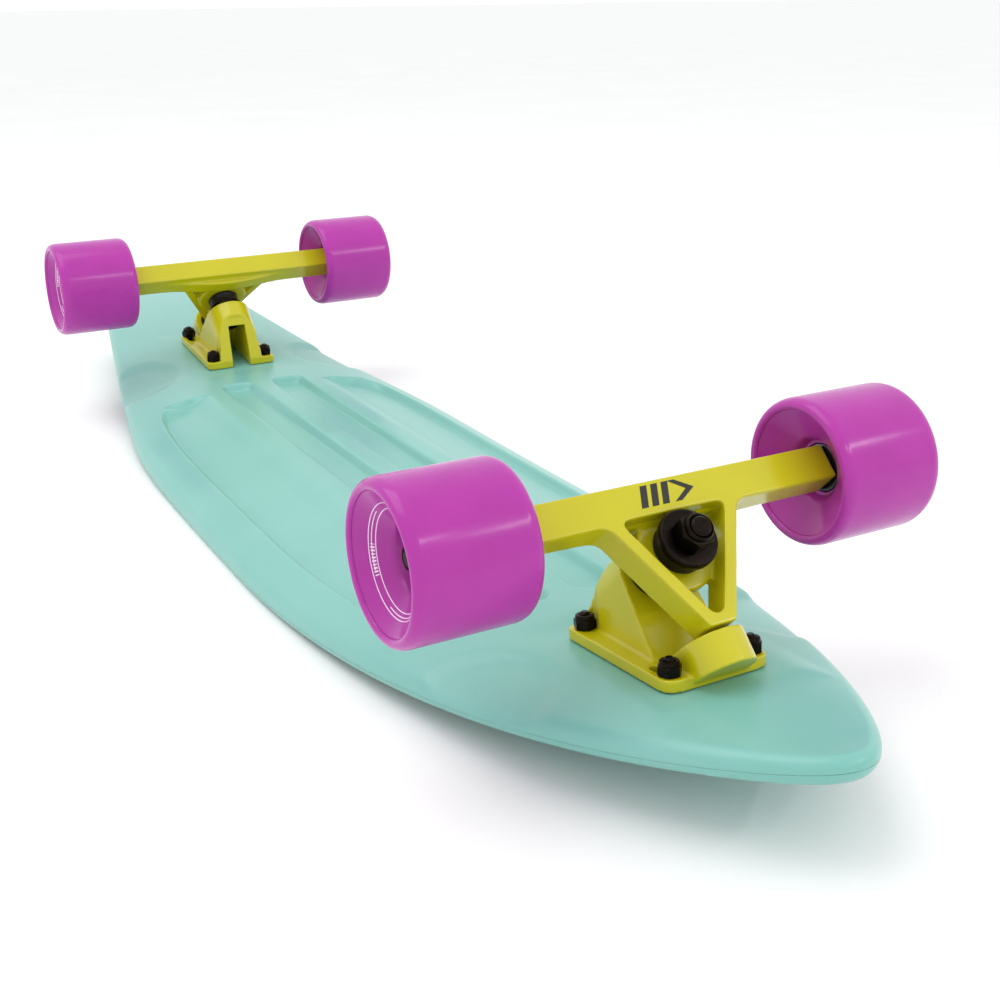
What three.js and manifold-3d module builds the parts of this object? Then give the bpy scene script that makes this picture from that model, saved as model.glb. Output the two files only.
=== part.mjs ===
// Skateboard lying upside down on its deck: a dished plastic deck, two reverse-kingpin trucks, four wheels.
// Millimetres, +Z up. X runs along the board with the pointed nose at +X, and Y runs across it.
// X is measured from the middle of the wheelbase until the board is placed, at the end.
import * as THREE from 'three';
import { mergeVertices } from 'three/addons/utils/BufferGeometryUtils.js';
import Module from 'manifold-3d';

const wasm = await Module();
wasm.setup();

const GAP = 0.3;                 // clearance between pieces that touch
const THROUGH = 20;              // how far a cutter runs past the face that it cuts
const OVERLAP = 1;               // how far joined shapes run into each other
const SIDES = { large: 32, medium: 20, small: 16, bolt: 10 };
const ARCH_STEPS = 10;           // fineness of the baseplate's two arches

// Deck length, and where the trucks stand on it
const DECK_LENGTH = 914;
const NOSE_OVERHANG = 120.3;     // from the middle of each bolt pattern to the end of the deck
const TAIL_OVERHANG = 192.3;
const TRUCK_X = (DECK_LENGTH - NOSE_OVERHANG - TAIL_OVERHANG) / 2;
const NOSE_X = TRUCK_X + NOSE_OVERHANG;
const TAIL_X = TRUCK_X + TAIL_OVERHANG;

// Deck outline: the nose is a rounded superellipse, and the tail tapers straight to a blunt end
const DECK_WIDTH = 227;
const WIDEST_X = 63;
const NOSE_CURVE = { fullness: 2.03, power: 0.68, rounding: 24 };
const TAIL_TAPER = { slope: 0.184, start: TRUCK_X - 143.7, ease: 27 };
const TAIL_END = { length: 60, power: 2.5 };

// Deck section
const RIM_RADIUS = 6;            // half the thickness of the deck
const NOSE_RISE = 38.5;          // how far the rim climbs from the middle to the nose
const TAIL_RISE = 31;            // climb towards the tail over the same length
const TAIL_STRAIGHT_X = TRUCK_X + 60;
const RISE_POWER = 2.5;
const CENTRE_HEIGHT = 32.5;      // centre line of the underside above the floor
const KICK_START = TRUCK_X - 45.7; // where both ends begin to kick up
const KICK_SLOPE = 0.1;
const KICK_EASE = 25;
const DISH_POWER = 3.5;          // how late the dished section falls away towards the rim
const DISH_END_POWER = 16;       // how late the dish fades out towards the ends

// Recessed field between the trucks, with one rib on the centre line and one on each side of it
const FIELD_DEPTH = 5;
const RIB_HALF = 6;              // half the flat top of the centre rib
const SIDE_RIB_INNER = 32.5;
const SIDE_RIB_OUTER = 42;
const RIB_WALL = 5;
const SIDE_RIB_SLOPE = 20;       // width of a side rib's gentle outer slope
const PANEL_INSET = 20;          // side panel's edge from the deck's edge
const PANEL_HALF_LENGTH = TRUCK_X - 92.7;
const PANEL_CORNER = 26;
const GROOVE_HALF_LENGTH = TRUCK_X - 79.7;
const GROOVE_CORNER = 9;

// Round hollows that give the wheels room
const WELL = { x: TRUCK_X - 21.7, y: 80, radius: 36, depth: 3, edge: 8 };

// Spacing of the deck's facets
const STATION_COUNT = 12;        // stations from the middle to each end
const TIP_INSETS = [0.4, 2, 6, 14, 27, 42];
const EDGE_INSETS = [11, 4, 1, 0];
const FULL_LINES = 12;           // lines across close up where the deck narrows by more than this
const LINE_ROOM = 0.96;          // how near the middle lines come to the edge lines

// Each baseplate stands on a flat pad that tilts up towards the board's end
const TRUCK_TILT = 5.4;
const BOLT_SPACING_X = 63.5;
const BOLT_SPACING_Y = 41.3;
const PAD_MARGIN = 5;            // flat pad beyond the baseplate
const PAD_EASE = 16;

// Kingpin, bushings and washers
const KINGPIN_RADIUS = 4.75;
const KINGPIN_PROUD = 1.2;
const KINGPIN_HEAD = { across: 11, height: 5 };
const KINGPIN_NUT = { across: 14.3, height: 7.6, collarRadius: 6.2, collarHeight: 2.2 };
const BUSHING = { radius: 12, waist: 10.4, board: 10.6, road: 9.6 };
const WASHER = { plate: 1.8, lip: 1, lipHeight: 2.2 };
const WASHER_RADIUS = BUSHING.radius + GAP + WASHER.lip;

// Pivot pin and the cup that it turns in
const PIVOT = { radius: 6.5, tipRadius: 5.2, length: 9, root: 3 };
const CUP_WALL = 2.2;
const CUP_RADIUS = PIVOT.radius + GAP + CUP_WALL;

// Baseplate
const FLANGE_LENGTH = 77;
const FLANGE_WIDTH = 53;
const FLANGE_THICKNESS = 5.5;
const FLANGE_CORNER = 7;
const SLOT_TRAVEL = 9.5;         // the outer bolt holes are slots that run this far inwards
const HOUSING = { radius: WASHER_RADIUS + 3.2, footHalf: 19, flare: 0.05, backX: -27, backZ: 36 };
const TUNNEL = { aboveKingpin: 11, topHalf: KINGPIN_HEAD.across / 2 + 1, spread: 0.03, wall: 8 };
const BOSS = { radius: CUP_RADIUS + GAP + 4.7, length: 15, bore: 12 };

// Steering frame: X runs from the axle down to the pivot, and Z runs out along the kingpin
const AXLE_X = -2;               // axle centre from the middle of the bolt pattern
const AXLE_HEIGHT = 66;          // axle centre above the baseplate's foot
const STEER_ANGLE = 50;          // steering axis below the plane of the baseplate
const STEER_DEPTH = -6;          // steering axis behind the middle of the hanger
const AXLE_RADIUS = 3.97;

// Hanger
const HANGER_WIDTH = 177;
const BAR_HEIGHT = 16.5;
const BAR_DEPTH = 15.5;
const BAR_EDGE = 0.8;
const V_BOTTOM = 58.5;
const V_BOTTOM_HALF = 6.4;
const V_SPREAD = 0.52;           // how far each leg leans out per millimetre
const LEG_WIDTH = 6.4;
const LEG_FILLET = 8;
const WINDOW = { top: 7, bottom: V_BOTTOM - 5.1, corner: 3.5, bottomCorner: 4 };
const KINGPIN_X = WINDOW.top + WASHER_RADIUS + 0.7;
const PIVOT_X = V_BOTTOM + 1.5;  // mouth of the pivot boss
const SEAT = { radius: BUSHING.radius + 6.5, thickness: 9, hole: KINGPIN_RADIUS + 3.25 };
const FAIRING = { half: 50, depth: 4.5, low: -2.75, steps: 8 };
const SHOULDER = { radius: AXLE_RADIUS + 1.63, length: 0.5 };

// Axles, bearings and wheels
const AXLE_PROUD = 0.3;
const BEARING = { radius: 11, width: 7 };
const SPACER = { length: 7.4, wall: 1.6 };
const AXLE_NUT = { across: 12.7, height: 4, collarRadius: 5.4, collarHeight: 1.4 };
const WHEEL_RADIUS = 34;
const WHEEL_WIDTH = 55;
const WHEEL_RECESS = 15;         // how deep the inner bearing sits in its wheel
const WHEEL_LIP = { across: 3.2, along: 5.5 };
const WHEEL_SIDES = 26;
// Hollow in each face: a cone down to a step, then a steeper wall to the bearing's seat
const HOLLOW = { radius: WHEEL_RADIUS - 5.5, edge: 1.8, stepRadius: BEARING.radius + 3.5, stepShare: 0.74 };
const HOLLOW_FLOOR_RADIUS = BEARING.radius + 1.7;
const CORE_LIP = 2.4;            // how far the wall between the bearings stands in

// Deck bolts and their lock nuts
const BOLT_RADIUS = 2.4;
const BOLT_HEAD = { radius: 4.7, height: 2.4, sunk: 0.5 };
const BOLT_PROUD = 1.2;
const LOCK_NUT = { across: 9.2, height: 4.4, collarRadius: 4, collarHeight: 2 };
const NUT_CLEARANCE = 0.7;       // room round each lock nut, cut into the housing

const LOOKS = {
  deck: { color: 0xa5d6cc, roughness: 0.5, metalness: 0 },
  truck: { color: 0xcbc234, roughness: 0.3, metalness: 0.1 },
  wheel: { color: 0xb454ab, roughness: 0.25, metalness: 0 },
  hardware: { color: 0x141414, roughness: 0.4, metalness: 0.6 },
  steel: { color: 0xb8bcc0, roughness: 0.3, metalness: 0.9 },
  urethane: { color: 0x1a1a1c, roughness: 0.6, metalness: 0 },
};

// Closed mesh as a solid, with its faces turned outwards.
function solidOf(geometry) {
  const bare = geometry.index ? geometry.toNonIndexed() : geometry.clone();
  bare.deleteAttribute('normal');
  bare.deleteAttribute('uv');
  const merged = mergeVertices(bare, 1e-4);
  const points = merged.attributes.position.array;
  const corner = (i) => new THREE.Vector3().fromArray(points, 3 * i);
  const faces = [];
  let volume = 0;
  for (let i = 0; i < merged.index.count; i += 3) {
    const [p, q, r] = merged.index.array.slice(i, i + 3);
    if (p !== q && q !== r && r !== p) {
      faces.push(p, q, r);
      volume += corner(p).dot(corner(q).cross(corner(r)));
    }
  }
  if (volume < 0) {
    faces.reverse();
  }
  return new wasm.Manifold(new wasm.Mesh({
    numProp: 3,
    vertProperties: new Float32Array(points),
    triVerts: new Uint32Array(faces),
  }));
}

function geometryOf(solid) {
  const mesh = solid.getMesh();
  const geometry = new THREE.BufferGeometry();
  geometry.setAttribute('position', new THREE.BufferAttribute(mesh.vertProperties, 3));
  geometry.setIndex(new THREE.BufferAttribute(mesh.triVerts, 1));
  const flat = geometry.toNonIndexed();
  flat.computeVertexNormals();
  return flat;
}

function joined(pieces) {
  return pieces.map(solidOf).reduce((whole, piece) => whole.add(piece));
}

function cut(solid, cutters) {
  return cutters.reduce((whole, cutter) => whole.subtract(solidOf(cutter)), solid);
}

function smooth(t) {
  const u = THREE.MathUtils.clamp(t, 0, 1);
  return u * u * (3 - 2 * u);
}

// Cylinder or cone along Z between two heights.
function rod(radius, low, high, sides, topRadius = radius) {
  const geometry = new THREE.CylinderGeometry(topRadius, radius, high - low, sides);
  return geometry.rotateX(Math.PI / 2).translate(0, 0, (low + high) / 2);
}

function hexagon(across, low, high) {
  return rod(across / Math.sqrt(3), low, high, 6);
}

// Profile of [radius, height] corners turned about Z; one that leaves the axis open closes on itself.
function turned(corners, sides) {
  const loop = corners[0][0] > 0 ? [...corners, corners[0]] : corners;
  const profile = loop.map(([radius, height]) => new THREE.Vector2(radius, height));
  return new THREE.LatheGeometry(profile, sides).rotateX(Math.PI / 2);
}

// Outline in the XY plane pushed along Z between two heights.
function slab(shape, low, high, curveSegments = 4) {
  const settings = { depth: high - low, bevelEnabled: false, curveSegments };
  return new THREE.ExtrudeGeometry(shape, settings).translate(0, 0, low);
}

// Turns XY outlines pushed along Z into YZ outlines pushed along X.
const ontoX = new THREE.Matrix4().makeBasis(
  new THREE.Vector3(0, 1, 0),
  new THREE.Vector3(0, 0, 1),
  new THREE.Vector3(1, 0, 0),
);

// Turns XY outlines pushed along Z into XZ outlines pushed along -Y.
const ontoY = new THREE.Matrix4().makeRotationX(Math.PI / 2);

function shapeOf(points) {
  return new THREE.Shape(points.map(([x, y]) => new THREE.Vector2(x, y)));
}

// Polygon with rounded corners, each given as [x, y, radius].
function roundedShape(corners) {
  const shape = new THREE.Shape();
  corners.forEach(([x, y, radius], i) => {
    const corner = new THREE.Vector2(x, y);
    const toNeighbour = (step) => {
      const [nx, ny] = corners[(i + step + corners.length) % corners.length];
      return new THREE.Vector2(nx, ny).sub(corner).normalize();
    };
    const back = toNeighbour(-1);
    const ahead = toNeighbour(1);
    const reach = radius / Math.tan(Math.acos(back.dot(ahead)) / 2);
    const start = corner.clone().addScaledVector(back, reach);
    const end = corner.clone().addScaledVector(ahead, reach);
    if (i === 0) {
      shape.moveTo(start.x, start.y);
    } else {
      shape.lineTo(start.x, start.y);
    }
    shape.quadraticCurveTo(x, y, end.x, end.y);
  });
  shape.closePath();
  return shape;
}

// Hexagon nut with a round collar above it, drilled through.
function nutSolid(nut, bore, low) {
  const top = low + nut.height + nut.collarHeight;
  const body = joined([hexagon(nut.across, low, low + nut.height), rod(nut.collarRadius, low, top, SIDES.bolt)]);
  return cut(body, [rod(bore, low - THROUGH, top + THROUGH, SIDES.bolt)]);
}

function part(name, look, geometry) {
  const mesh = new THREE.Mesh(geometry, new THREE.MeshStandardMaterial(LOOKS[look]));
  mesh.name = name;
  return mesh;
}

// ---- Deck ----

// Ramp that eases from flat to a slope of one.
function softRamp(distance, ease) {
  return ease * Math.log1p(Math.exp(distance / ease));
}

function halfWidth(x) {
  if (x > WIDEST_X) {
    const u = Math.min((x - WIDEST_X) / (NOSE_X - WIDEST_X), 1);
    const taper = (1 - u ** NOSE_CURVE.fullness) ** NOSE_CURVE.power;
    const tip = (1 - u ** NOSE_CURVE.rounding) ** (0.5 - NOSE_CURVE.power);
    return u < 1 ? DECK_WIDTH / 2 * taper * tip : 0;
  }
  const width = DECK_WIDTH / 2 - TAIL_TAPER.slope * softRamp(-x - TAIL_TAPER.start, TAIL_TAPER.ease);
  const past = THREE.MathUtils.clamp(1 - (x + TAIL_X) / TAIL_END.length, 0, 1);
  return width * (1 - past ** TAIL_END.power) ** (1 / TAIL_END.power);
}

// Stations along the board: close together at the tips and where the field and the truck pads end.
function deckStations() {
  const fieldEnds = [PANEL_HALF_LENGTH, GROOVE_HALF_LENGTH].flatMap((end) => [end - RIB_WALL, end]);
  const padHalf = FLANGE_LENGTH / 2 + PAD_MARGIN;
  const fixed = [...fieldEnds, TRUCK_X - padHalf, TRUCK_X + padHalf];
  const half = (endX) => {
    const even = [];
    for (let i = 1; i <= STATION_COUNT; i += 1) {
      even.push(i / STATION_COUNT * (endX - TAIL_END.length));
    }
    const clear = even.filter((x) => fixed.every((end) => Math.abs(x - end) > RIB_WALL));
    return [...clear, ...fixed, ...TIP_INSETS.map((inset) => endX - inset)];
  };
  return [...half(TAIL_X).map((x) => -x), 0, ...half(NOSE_X)].sort((a, b) => a - b);
}

const edge = [-TAIL_X, ...deckStations(), NOSE_X].map((x) => [x, halfWidth(x)]);

function edgeDistance(x, y) {
  const point = new THREE.Vector3(x, Math.abs(y), 0);
  const nearest = new THREE.Vector3();
  let least = Infinity;
  for (let i = 1; i < edge.length; i += 1) {
    const line = new THREE.Line3(new THREE.Vector3(...edge[i - 1], 0), new THREE.Vector3(...edge[i], 0));
    line.closestPointToPoint(point, true, nearest);
    least = Math.min(least, nearest.distanceTo(point));
  }
  return least;
}

// The rim climbs along a curve, and the tail's climb then runs on straight.
function rimHeight(x) {
  const rise = x > 0 ? NOSE_RISE : TAIL_RISE;
  const curved = Math.min(Math.abs(x), x > 0 ? NOSE_X : TAIL_STRAIGHT_X) / NOSE_X;
  const slope = rise * RISE_POWER / NOSE_X * curved ** (RISE_POWER - 1);
  return RIM_RADIUS + rise * curved ** RISE_POWER + slope * (Math.abs(x) - curved * NOSE_X);
}

function centreHeight(x) {
  return CENTRE_HEIGHT + KICK_SLOPE * softRamp(Math.abs(x) - KICK_START, KICK_EASE);
}

// Height of the dished sheet above its rim.
function dish(x, y) {
  const across = Math.min(Math.abs(y) / halfWidth(x), 1);
  const height = Math.max(centreHeight(x) - rimHeight(x) - RIM_RADIUS, 0);
  const fade = 1 - (Math.abs(x) / (x > 0 ? NOSE_X : TAIL_X)) ** DISH_END_POWER;
  return height * fade * (1 - across ** DISH_POWER);
}

// Distance inside a corner of this radius, given the distances to its two sides.
function insideCorner(along, across, radius) {
  if (along < radius && across < radius) {
    return radius - Math.hypot(radius - along, radius - across);
  }
  return Math.min(along, across);
}

function fieldDepth(x, y) {
  const side = Math.abs(y);
  const grooveSide = Math.min(side - RIB_HALF, SIDE_RIB_INNER - side);
  const groove = insideCorner(GROOVE_HALF_LENGTH - Math.abs(x), grooveSide, GROOVE_CORNER);
  const panelSide = halfWidth(x) - PANEL_INSET - side;
  const panel = insideCorner(PANEL_HALF_LENGTH - Math.abs(x), panelSide, PANEL_CORNER);
  const slope = smooth((side - SIDE_RIB_OUTER) / SIDE_RIB_SLOPE);
  return FIELD_DEPTH * Math.max(smooth(groove / RIB_WALL), smooth(panel / RIB_WALL) * slope);
}

function wellDepth(x, y) {
  const reach = Math.hypot(Math.abs(x) - WELL.x, Math.abs(y) - WELL.y);
  return WELL.depth * smooth((WELL.radius - reach) / WELL.edge);
}

function padHeight(x) {
  return centreHeight(TRUCK_X) + Math.tan(THREE.MathUtils.degToRad(TRUCK_TILT)) * (Math.abs(x) - TRUCK_X);
}

function underside(x, y) {
  const inset = Math.min(edgeDistance(x, y) / RIM_RADIUS, 1);
  const half = RIM_RADIUS * Math.sqrt(1 - (1 - inset) ** 2);
  const sheet = rimHeight(x) + half + dish(x, y) - fieldDepth(x, y) - wellDepth(x, y) * half / RIM_RADIUS;
  const outX = Math.abs(Math.abs(x) - TRUCK_X) - FLANGE_LENGTH / 2 - PAD_MARGIN;
  const outY = Math.abs(y) - FLANGE_WIDTH / 2 - PAD_MARGIN;
  const onPad = smooth(1 - Math.max(outX, outY, 0) / PAD_EASE);
  return THREE.MathUtils.lerp(sheet, padHeight(x), onPad);
}

function ridingSide(x, y) {
  const inset = Math.min(edgeDistance(x, y) / RIM_RADIUS, 1);
  const half = RIM_RADIUS * Math.sqrt(1 - (1 - inset) ** 2);
  return rimHeight(x) - half + dish(x, y);
}

// Lines across the board: fixed ones near the middle, then ones that keep their distance from the edge.
function lineY(x, fixed, insets) {
  const width = halfWidth(x);
  const squeeze = Math.min(width / (DECK_WIDTH / 2 - FULL_LINES), 1);
  const outer = insets.map((inset) => width - inset * squeeze);
  const inner = fixed.map((y) => y * Math.min(LINE_ROOM * outer[0] / fixed.at(-1), 1));
  const half = [...inner, ...outer];
  return [...half.map((y) => -y).reverse(), 0, ...half];
}

function deckMesh() {
  const slopeMiddle = SIDE_RIB_OUTER + SIDE_RIB_SLOPE / 2;
  const slopeEnd = SIDE_RIB_OUTER + SIDE_RIB_SLOPE;
  const grooveLines = [RIB_HALF, RIB_HALF + RIB_WALL, SIDE_RIB_INNER - RIB_WALL, SIDE_RIB_INNER];
  const sides = [
    { height: underside, fixed: [...grooveLines, SIDE_RIB_OUTER, slopeMiddle, slopeEnd],
      insets: [PANEL_INSET + RIB_WALL, PANEL_INSET, ...EDGE_INSETS], up: true },
    { height: ridingSide, fixed: [SIDE_RIB_OUTER], insets: [PANEL_INSET, ...EDGE_INSETS], up: false },
  ];
  const stations = deckStations();
  const points = [];
  for (const { height, fixed, insets, up } of sides) {
    const rows = stations.map((x) => lineY(x, fixed, insets).map((y) => [x, y, height(x, y)]));
    const tips = [-TAIL_X, NOSE_X].map((x) => [x, 0, rimHeight(x)]);
    rows.unshift(rows[0].map(() => tips[0]));
    rows.push(rows[0].map(() => tips[1]));
    for (let i = 1; i < rows.length; i += 1) {
      for (let j = 1; j < rows[i].length; j += 1) {
        const quad = [rows[i - 1][j - 1], rows[i][j - 1], rows[i][j], rows[i - 1][j]];
        const order = up ? [0, 1, 2, 0, 2, 3] : [0, 2, 1, 0, 3, 2];
        points.push(...order.flatMap((k) => quad[k]));
      }
    }
  }
  const geometry = new THREE.BufferGeometry();
  geometry.setAttribute('position', new THREE.Float32BufferAttribute(points, 3));
  return geometry;
}

// ---- Truck ----

const steeringFrame = new THREE.Matrix4()
  .makeRotationY(THREE.MathUtils.degToRad(STEER_ANGLE))
  .setPosition(AXLE_X, 0, AXLE_HEIGHT);

// Places along the kingpin, in the steering frame
const seatFront = STEER_DEPTH + SEAT.thickness / 2;
const seatBack = STEER_DEPTH - SEAT.thickness / 2;
const roadBushingTop = seatFront + GAP + BUSHING.road;
const boardBushingFoot = seatBack - GAP - BUSHING.board;
const roadWasherFoot = roadBushingTop + GAP;
const boardWasherTop = boardBushingFoot - GAP;
const housingFace = boardWasherTop - WASHER.plate - GAP;
const kingpinNutFoot = roadWasherFoot + WASHER.plate + GAP;
const kingpinEnd = kingpinNutFoot + KINGPIN_NUT.height + KINGPIN_NUT.collarHeight + KINGPIN_PROUD;
const tunnelRoof = housingFace - TUNNEL.wall;

// Places along the axle, from the centre line of the board
const shoulderEnd = HANGER_WIDTH / 2 + SHOULDER.length;
const innerBearingY = shoulderEnd + GAP;
const wheelInnerY = innerBearingY - WHEEL_RECESS;
const spacerY = innerBearingY + BEARING.width + GAP;
const outerBearingY = spacerY + SPACER.length + GAP;
const axleNutY = outerBearingY + BEARING.width + GAP;
const axleEnd = axleNutY + AXLE_NUT.height + AXLE_NUT.collarHeight + AXLE_PROUD;

const boltPlaces = [1, -1].flatMap((end) => [1, -1].map((side) => ({
  x: end * BOLT_SPACING_X / 2,
  y: side * BOLT_SPACING_Y / 2,
})));

function baseplateSolid() {
  const halfLength = FLANGE_LENGTH / 2;
  const halfFlange = FLANGE_WIDTH / 2;
  const flange = slab(roundedShape([
    [-halfLength, -halfFlange, FLANGE_CORNER / 2],
    [halfLength, -halfFlange, FLANGE_CORNER],
    [halfLength, halfFlange, FLANGE_CORNER],
    [-halfLength, halfFlange, FLANGE_CORNER / 2],
  ]), 0, FLANGE_THICKNESS);

  const foot = AXLE_HEIGHT * 2;
  const footHalf = HOUSING.footHalf + (foot - PIVOT_X) * HOUSING.flare;
  const arch = shapeOf([[foot, footHalf], [foot, -footHalf], [KINGPIN_X, -HOUSING.radius]]);
  arch.absarc(KINGPIN_X, 0, HOUSING.radius, 1.5 * Math.PI, 0.5 * Math.PI, true);
  const housing = slab(arch, -foot, housingFace, ARCH_STEPS).applyMatrix4(steeringFrame);
  const silhouette = slab(shapeOf([
    [-halfLength, 0],
    [-halfLength, FLANGE_THICKNESS],
    [HOUSING.backX, HOUSING.backZ],
    [HOUSING.backX, AXLE_HEIGHT],
    [halfLength, AXLE_HEIGHT],
    [halfLength, 0],
  ]), -FLANGE_WIDTH, FLANGE_WIDTH).applyMatrix4(ontoY);

  const bossShape = shapeOf([[BOSS.radius, STEER_DEPTH - foot], [BOSS.radius, STEER_DEPTH]]);
  bossShape.absarc(0, STEER_DEPTH, BOSS.radius, 0, Math.PI, false);
  bossShape.lineTo(-BOSS.radius, STEER_DEPTH - foot);
  const boss = slab(bossShape, PIVOT_X, PIVOT_X + BOSS.length, ARCH_STEPS).applyMatrix4(ontoX)
    .applyMatrix4(steeringFrame);
  const aboveDeck = slab(shapeOf([[-foot, 0], [foot, 0], [foot, foot], [-foot, foot]]), -foot, foot)
    .applyMatrix4(ontoY);

  const tunnelTop = KINGPIN_X - TUNNEL.aboveKingpin;
  const tunnelFoot = TUNNEL.topHalf + TUNNEL.spread * (foot - tunnelTop);
  const tunnel = slab(shapeOf([
    [tunnelTop, -TUNNEL.topHalf],
    [foot, -tunnelFoot],
    [foot, tunnelFoot],
    [tunnelTop, TUNNEL.topHalf],
  ]), -foot, tunnelRoof).applyMatrix4(steeringFrame);
  const kingpinBore = rod(KINGPIN_RADIUS + GAP, tunnelRoof - OVERLAP, housingFace + OVERLAP, SIDES.medium)
    .translate(KINGPIN_X, 0, 0).applyMatrix4(steeringFrame);
  const cupBore = rod(CUP_RADIUS + GAP, -THROUGH, BOSS.bore, SIDES.medium).rotateY(Math.PI / 2)
    .translate(PIVOT_X, 0, STEER_DEPTH).applyMatrix4(steeringFrame);

  const holeRadius = BOLT_RADIUS + GAP;
  const holes = boltPlaces.map(({ x, y }) => {
    const travel = x > 0 ? SLOT_TRAVEL : 0;
    const slot = new THREE.Shape();
    slot.absarc(x, y, holeRadius, -Math.PI / 2, Math.PI / 2, false);
    slot.absarc(x - travel, y, holeRadius, Math.PI / 2, 1.5 * Math.PI, false);
    slot.closePath();
    return slab(slot, -THROUGH, THROUGH);
  });

  const pockets = boltPlaces.map(({ x, y }) => (
    rod(LOCK_NUT.across / Math.sqrt(3) + NUT_CLEARANCE, FLANGE_THICKNESS, AXLE_HEIGHT, SIDES.small).translate(x, y, 0)
  ));

  const standing = solidOf(housing).intersect(solidOf(silhouette));
  const bossAbove = solidOf(boss).intersect(solidOf(aboveDeck));
  const body = cut(standing.add(bossAbove), pockets).add(solidOf(flange));
  return cut(body, [tunnel, kingpinBore, cupBore, ...holes]);
}

function hangerSolid() {
  const halfBar = BAR_HEIGHT / 2;
  const halfHanger = HANGER_WIDTH / 2;
  const legOuter = (x) => V_BOTTOM_HALF + V_SPREAD * (V_BOTTOM - x);
  const legInner = (x) => legOuter(x) - LEG_WIDTH;
  const outline = roundedShape([
    [-halfBar, -halfHanger, BAR_EDGE],
    [halfBar, -halfHanger, BAR_EDGE],
    [halfBar, -legOuter(halfBar), LEG_FILLET],
    [V_BOTTOM, -V_BOTTOM_HALF, BAR_EDGE],
    [V_BOTTOM, V_BOTTOM_HALF, BAR_EDGE],
    [halfBar, legOuter(halfBar), LEG_FILLET],
    [halfBar, halfHanger, BAR_EDGE],
    [-halfBar, halfHanger, BAR_EDGE],
  ]);
  outline.holes.push(roundedShape([
    [WINDOW.top, -legInner(WINDOW.top), WINDOW.corner],
    [WINDOW.bottom, -legInner(WINDOW.bottom), WINDOW.bottomCorner],
    [WINDOW.bottom, legInner(WINDOW.bottom), WINDOW.bottomCorner],
    [WINDOW.top, legInner(WINDOW.top), WINDOW.corner],
  ]));
  const frame = slab(outline, -BAR_DEPTH / 2, BAR_DEPTH / 2);
  const seat = rod(SEAT.radius, seatBack, seatFront, SIDES.large).translate(KINGPIN_X, 0, 0);

  // The back of the bar swells towards the middle, where it carries the bushing seat.
  const swell = [];
  for (let i = 0; i <= FAIRING.steps; i += 1) {
    const across = -1 + 2 * i / FAIRING.steps;
    swell.push([across * FAIRING.half, -BAR_DEPTH / 2 - FAIRING.depth * (1 - across ** 2) ** 2]);
  }
  swell.push([FAIRING.half, 0], [-FAIRING.half, 0]);
  const fairing = slab(shapeOf(swell), FAIRING.low, halfBar).applyMatrix4(ontoX);

  const shoulder = rod(SHOULDER.radius, -shoulderEnd, shoulderEnd, SIDES.medium).applyMatrix4(ontoY);
  const pivotEnd = PIVOT_X + PIVOT.length;
  const pivot = rod(PIVOT.radius, V_BOTTOM - PIVOT.root, pivotEnd, SIDES.medium, PIVOT.tipRadius)
    .rotateY(Math.PI / 2).translate(0, 0, STEER_DEPTH);
  const seatHole = rod(SEAT.hole, seatBack - THROUGH, seatFront + OVERLAP, SIDES.medium).translate(KINGPIN_X, 0, 0);
  const axleBore = rod(AXLE_RADIUS + GAP, -halfHanger - THROUGH, halfHanger + THROUGH, SIDES.small)
    .applyMatrix4(ontoY);
  return cut(joined([frame, seat, fairing, shoulder, pivot]), [seatHole, axleBore]);
}

function wheelGeometry() {
  const seat = BEARING.radius + GAP;
  const innerFloor = innerBearingY - wheelInnerY;
  const innerStep = spacerY - wheelInnerY;
  const outerStep = outerBearingY - wheelInnerY - GAP;
  const outerFloor = outerBearingY + BEARING.width - wheelInnerY;
  const lip = (height, start) => [0, 1, 2].map((i) => {
    const angle = (start + i / 2) * Math.PI / 2;
    return [WHEEL_RADIUS - WHEEL_LIP.across * (1 - Math.cos(angle)), height + WHEEL_LIP.along * Math.sin(angle)];
  });
  return turned([
    [seat, innerFloor],
    [HOLLOW_FLOOR_RADIUS, innerFloor],
    [HOLLOW.stepRadius, innerFloor * HOLLOW.stepShare],
    [HOLLOW.radius, HOLLOW.edge],
    [HOLLOW.radius + HOLLOW.edge, 0],
    ...lip(WHEEL_LIP.along, -1),
    ...lip(WHEEL_WIDTH - WHEEL_LIP.along, 0),
    [HOLLOW.radius + HOLLOW.edge, WHEEL_WIDTH],
    [HOLLOW.radius, WHEEL_WIDTH - HOLLOW.edge],
    [HOLLOW.stepRadius, WHEEL_WIDTH - (WHEEL_WIDTH - outerFloor) * HOLLOW.stepShare],
    [HOLLOW_FLOOR_RADIUS, outerFloor],
    [seat, outerFloor],
    [seat, outerStep],
    [seat - CORE_LIP, outerStep],
    [seat - CORE_LIP, innerStep],
    [seat, innerStep],
  ], WHEEL_SIDES);
}

function sleeve(inner, outer, low, high, sides) {
  return turned([[inner, low], [outer, low], [outer, high], [inner, high]], sides);
}

function bushing(low, high) {
  const bore = KINGPIN_RADIUS + GAP;
  const waist = (low + high) / 2;
  return turned([
    [bore, low],
    [BUSHING.radius, low],
    [BUSHING.waist, waist],
    [BUSHING.radius, high],
    [bore, high],
  ], SIDES.small);
}

// Washer with a lip that stands up round the end of a bushing.
const cupWasher = turned([
  [KINGPIN_RADIUS + GAP, 0],
  [WASHER_RADIUS, 0],
  [WASHER_RADIUS, WASHER.plate + WASHER.lipHeight],
  [WASHER_RADIUS - WASHER.lip, WASHER.plate + WASHER.lipHeight],
  [WASHER_RADIUS - WASHER.lip, WASHER.plate],
  [KINGPIN_RADIUS + GAP, WASHER.plate],
], SIDES.small);

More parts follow.
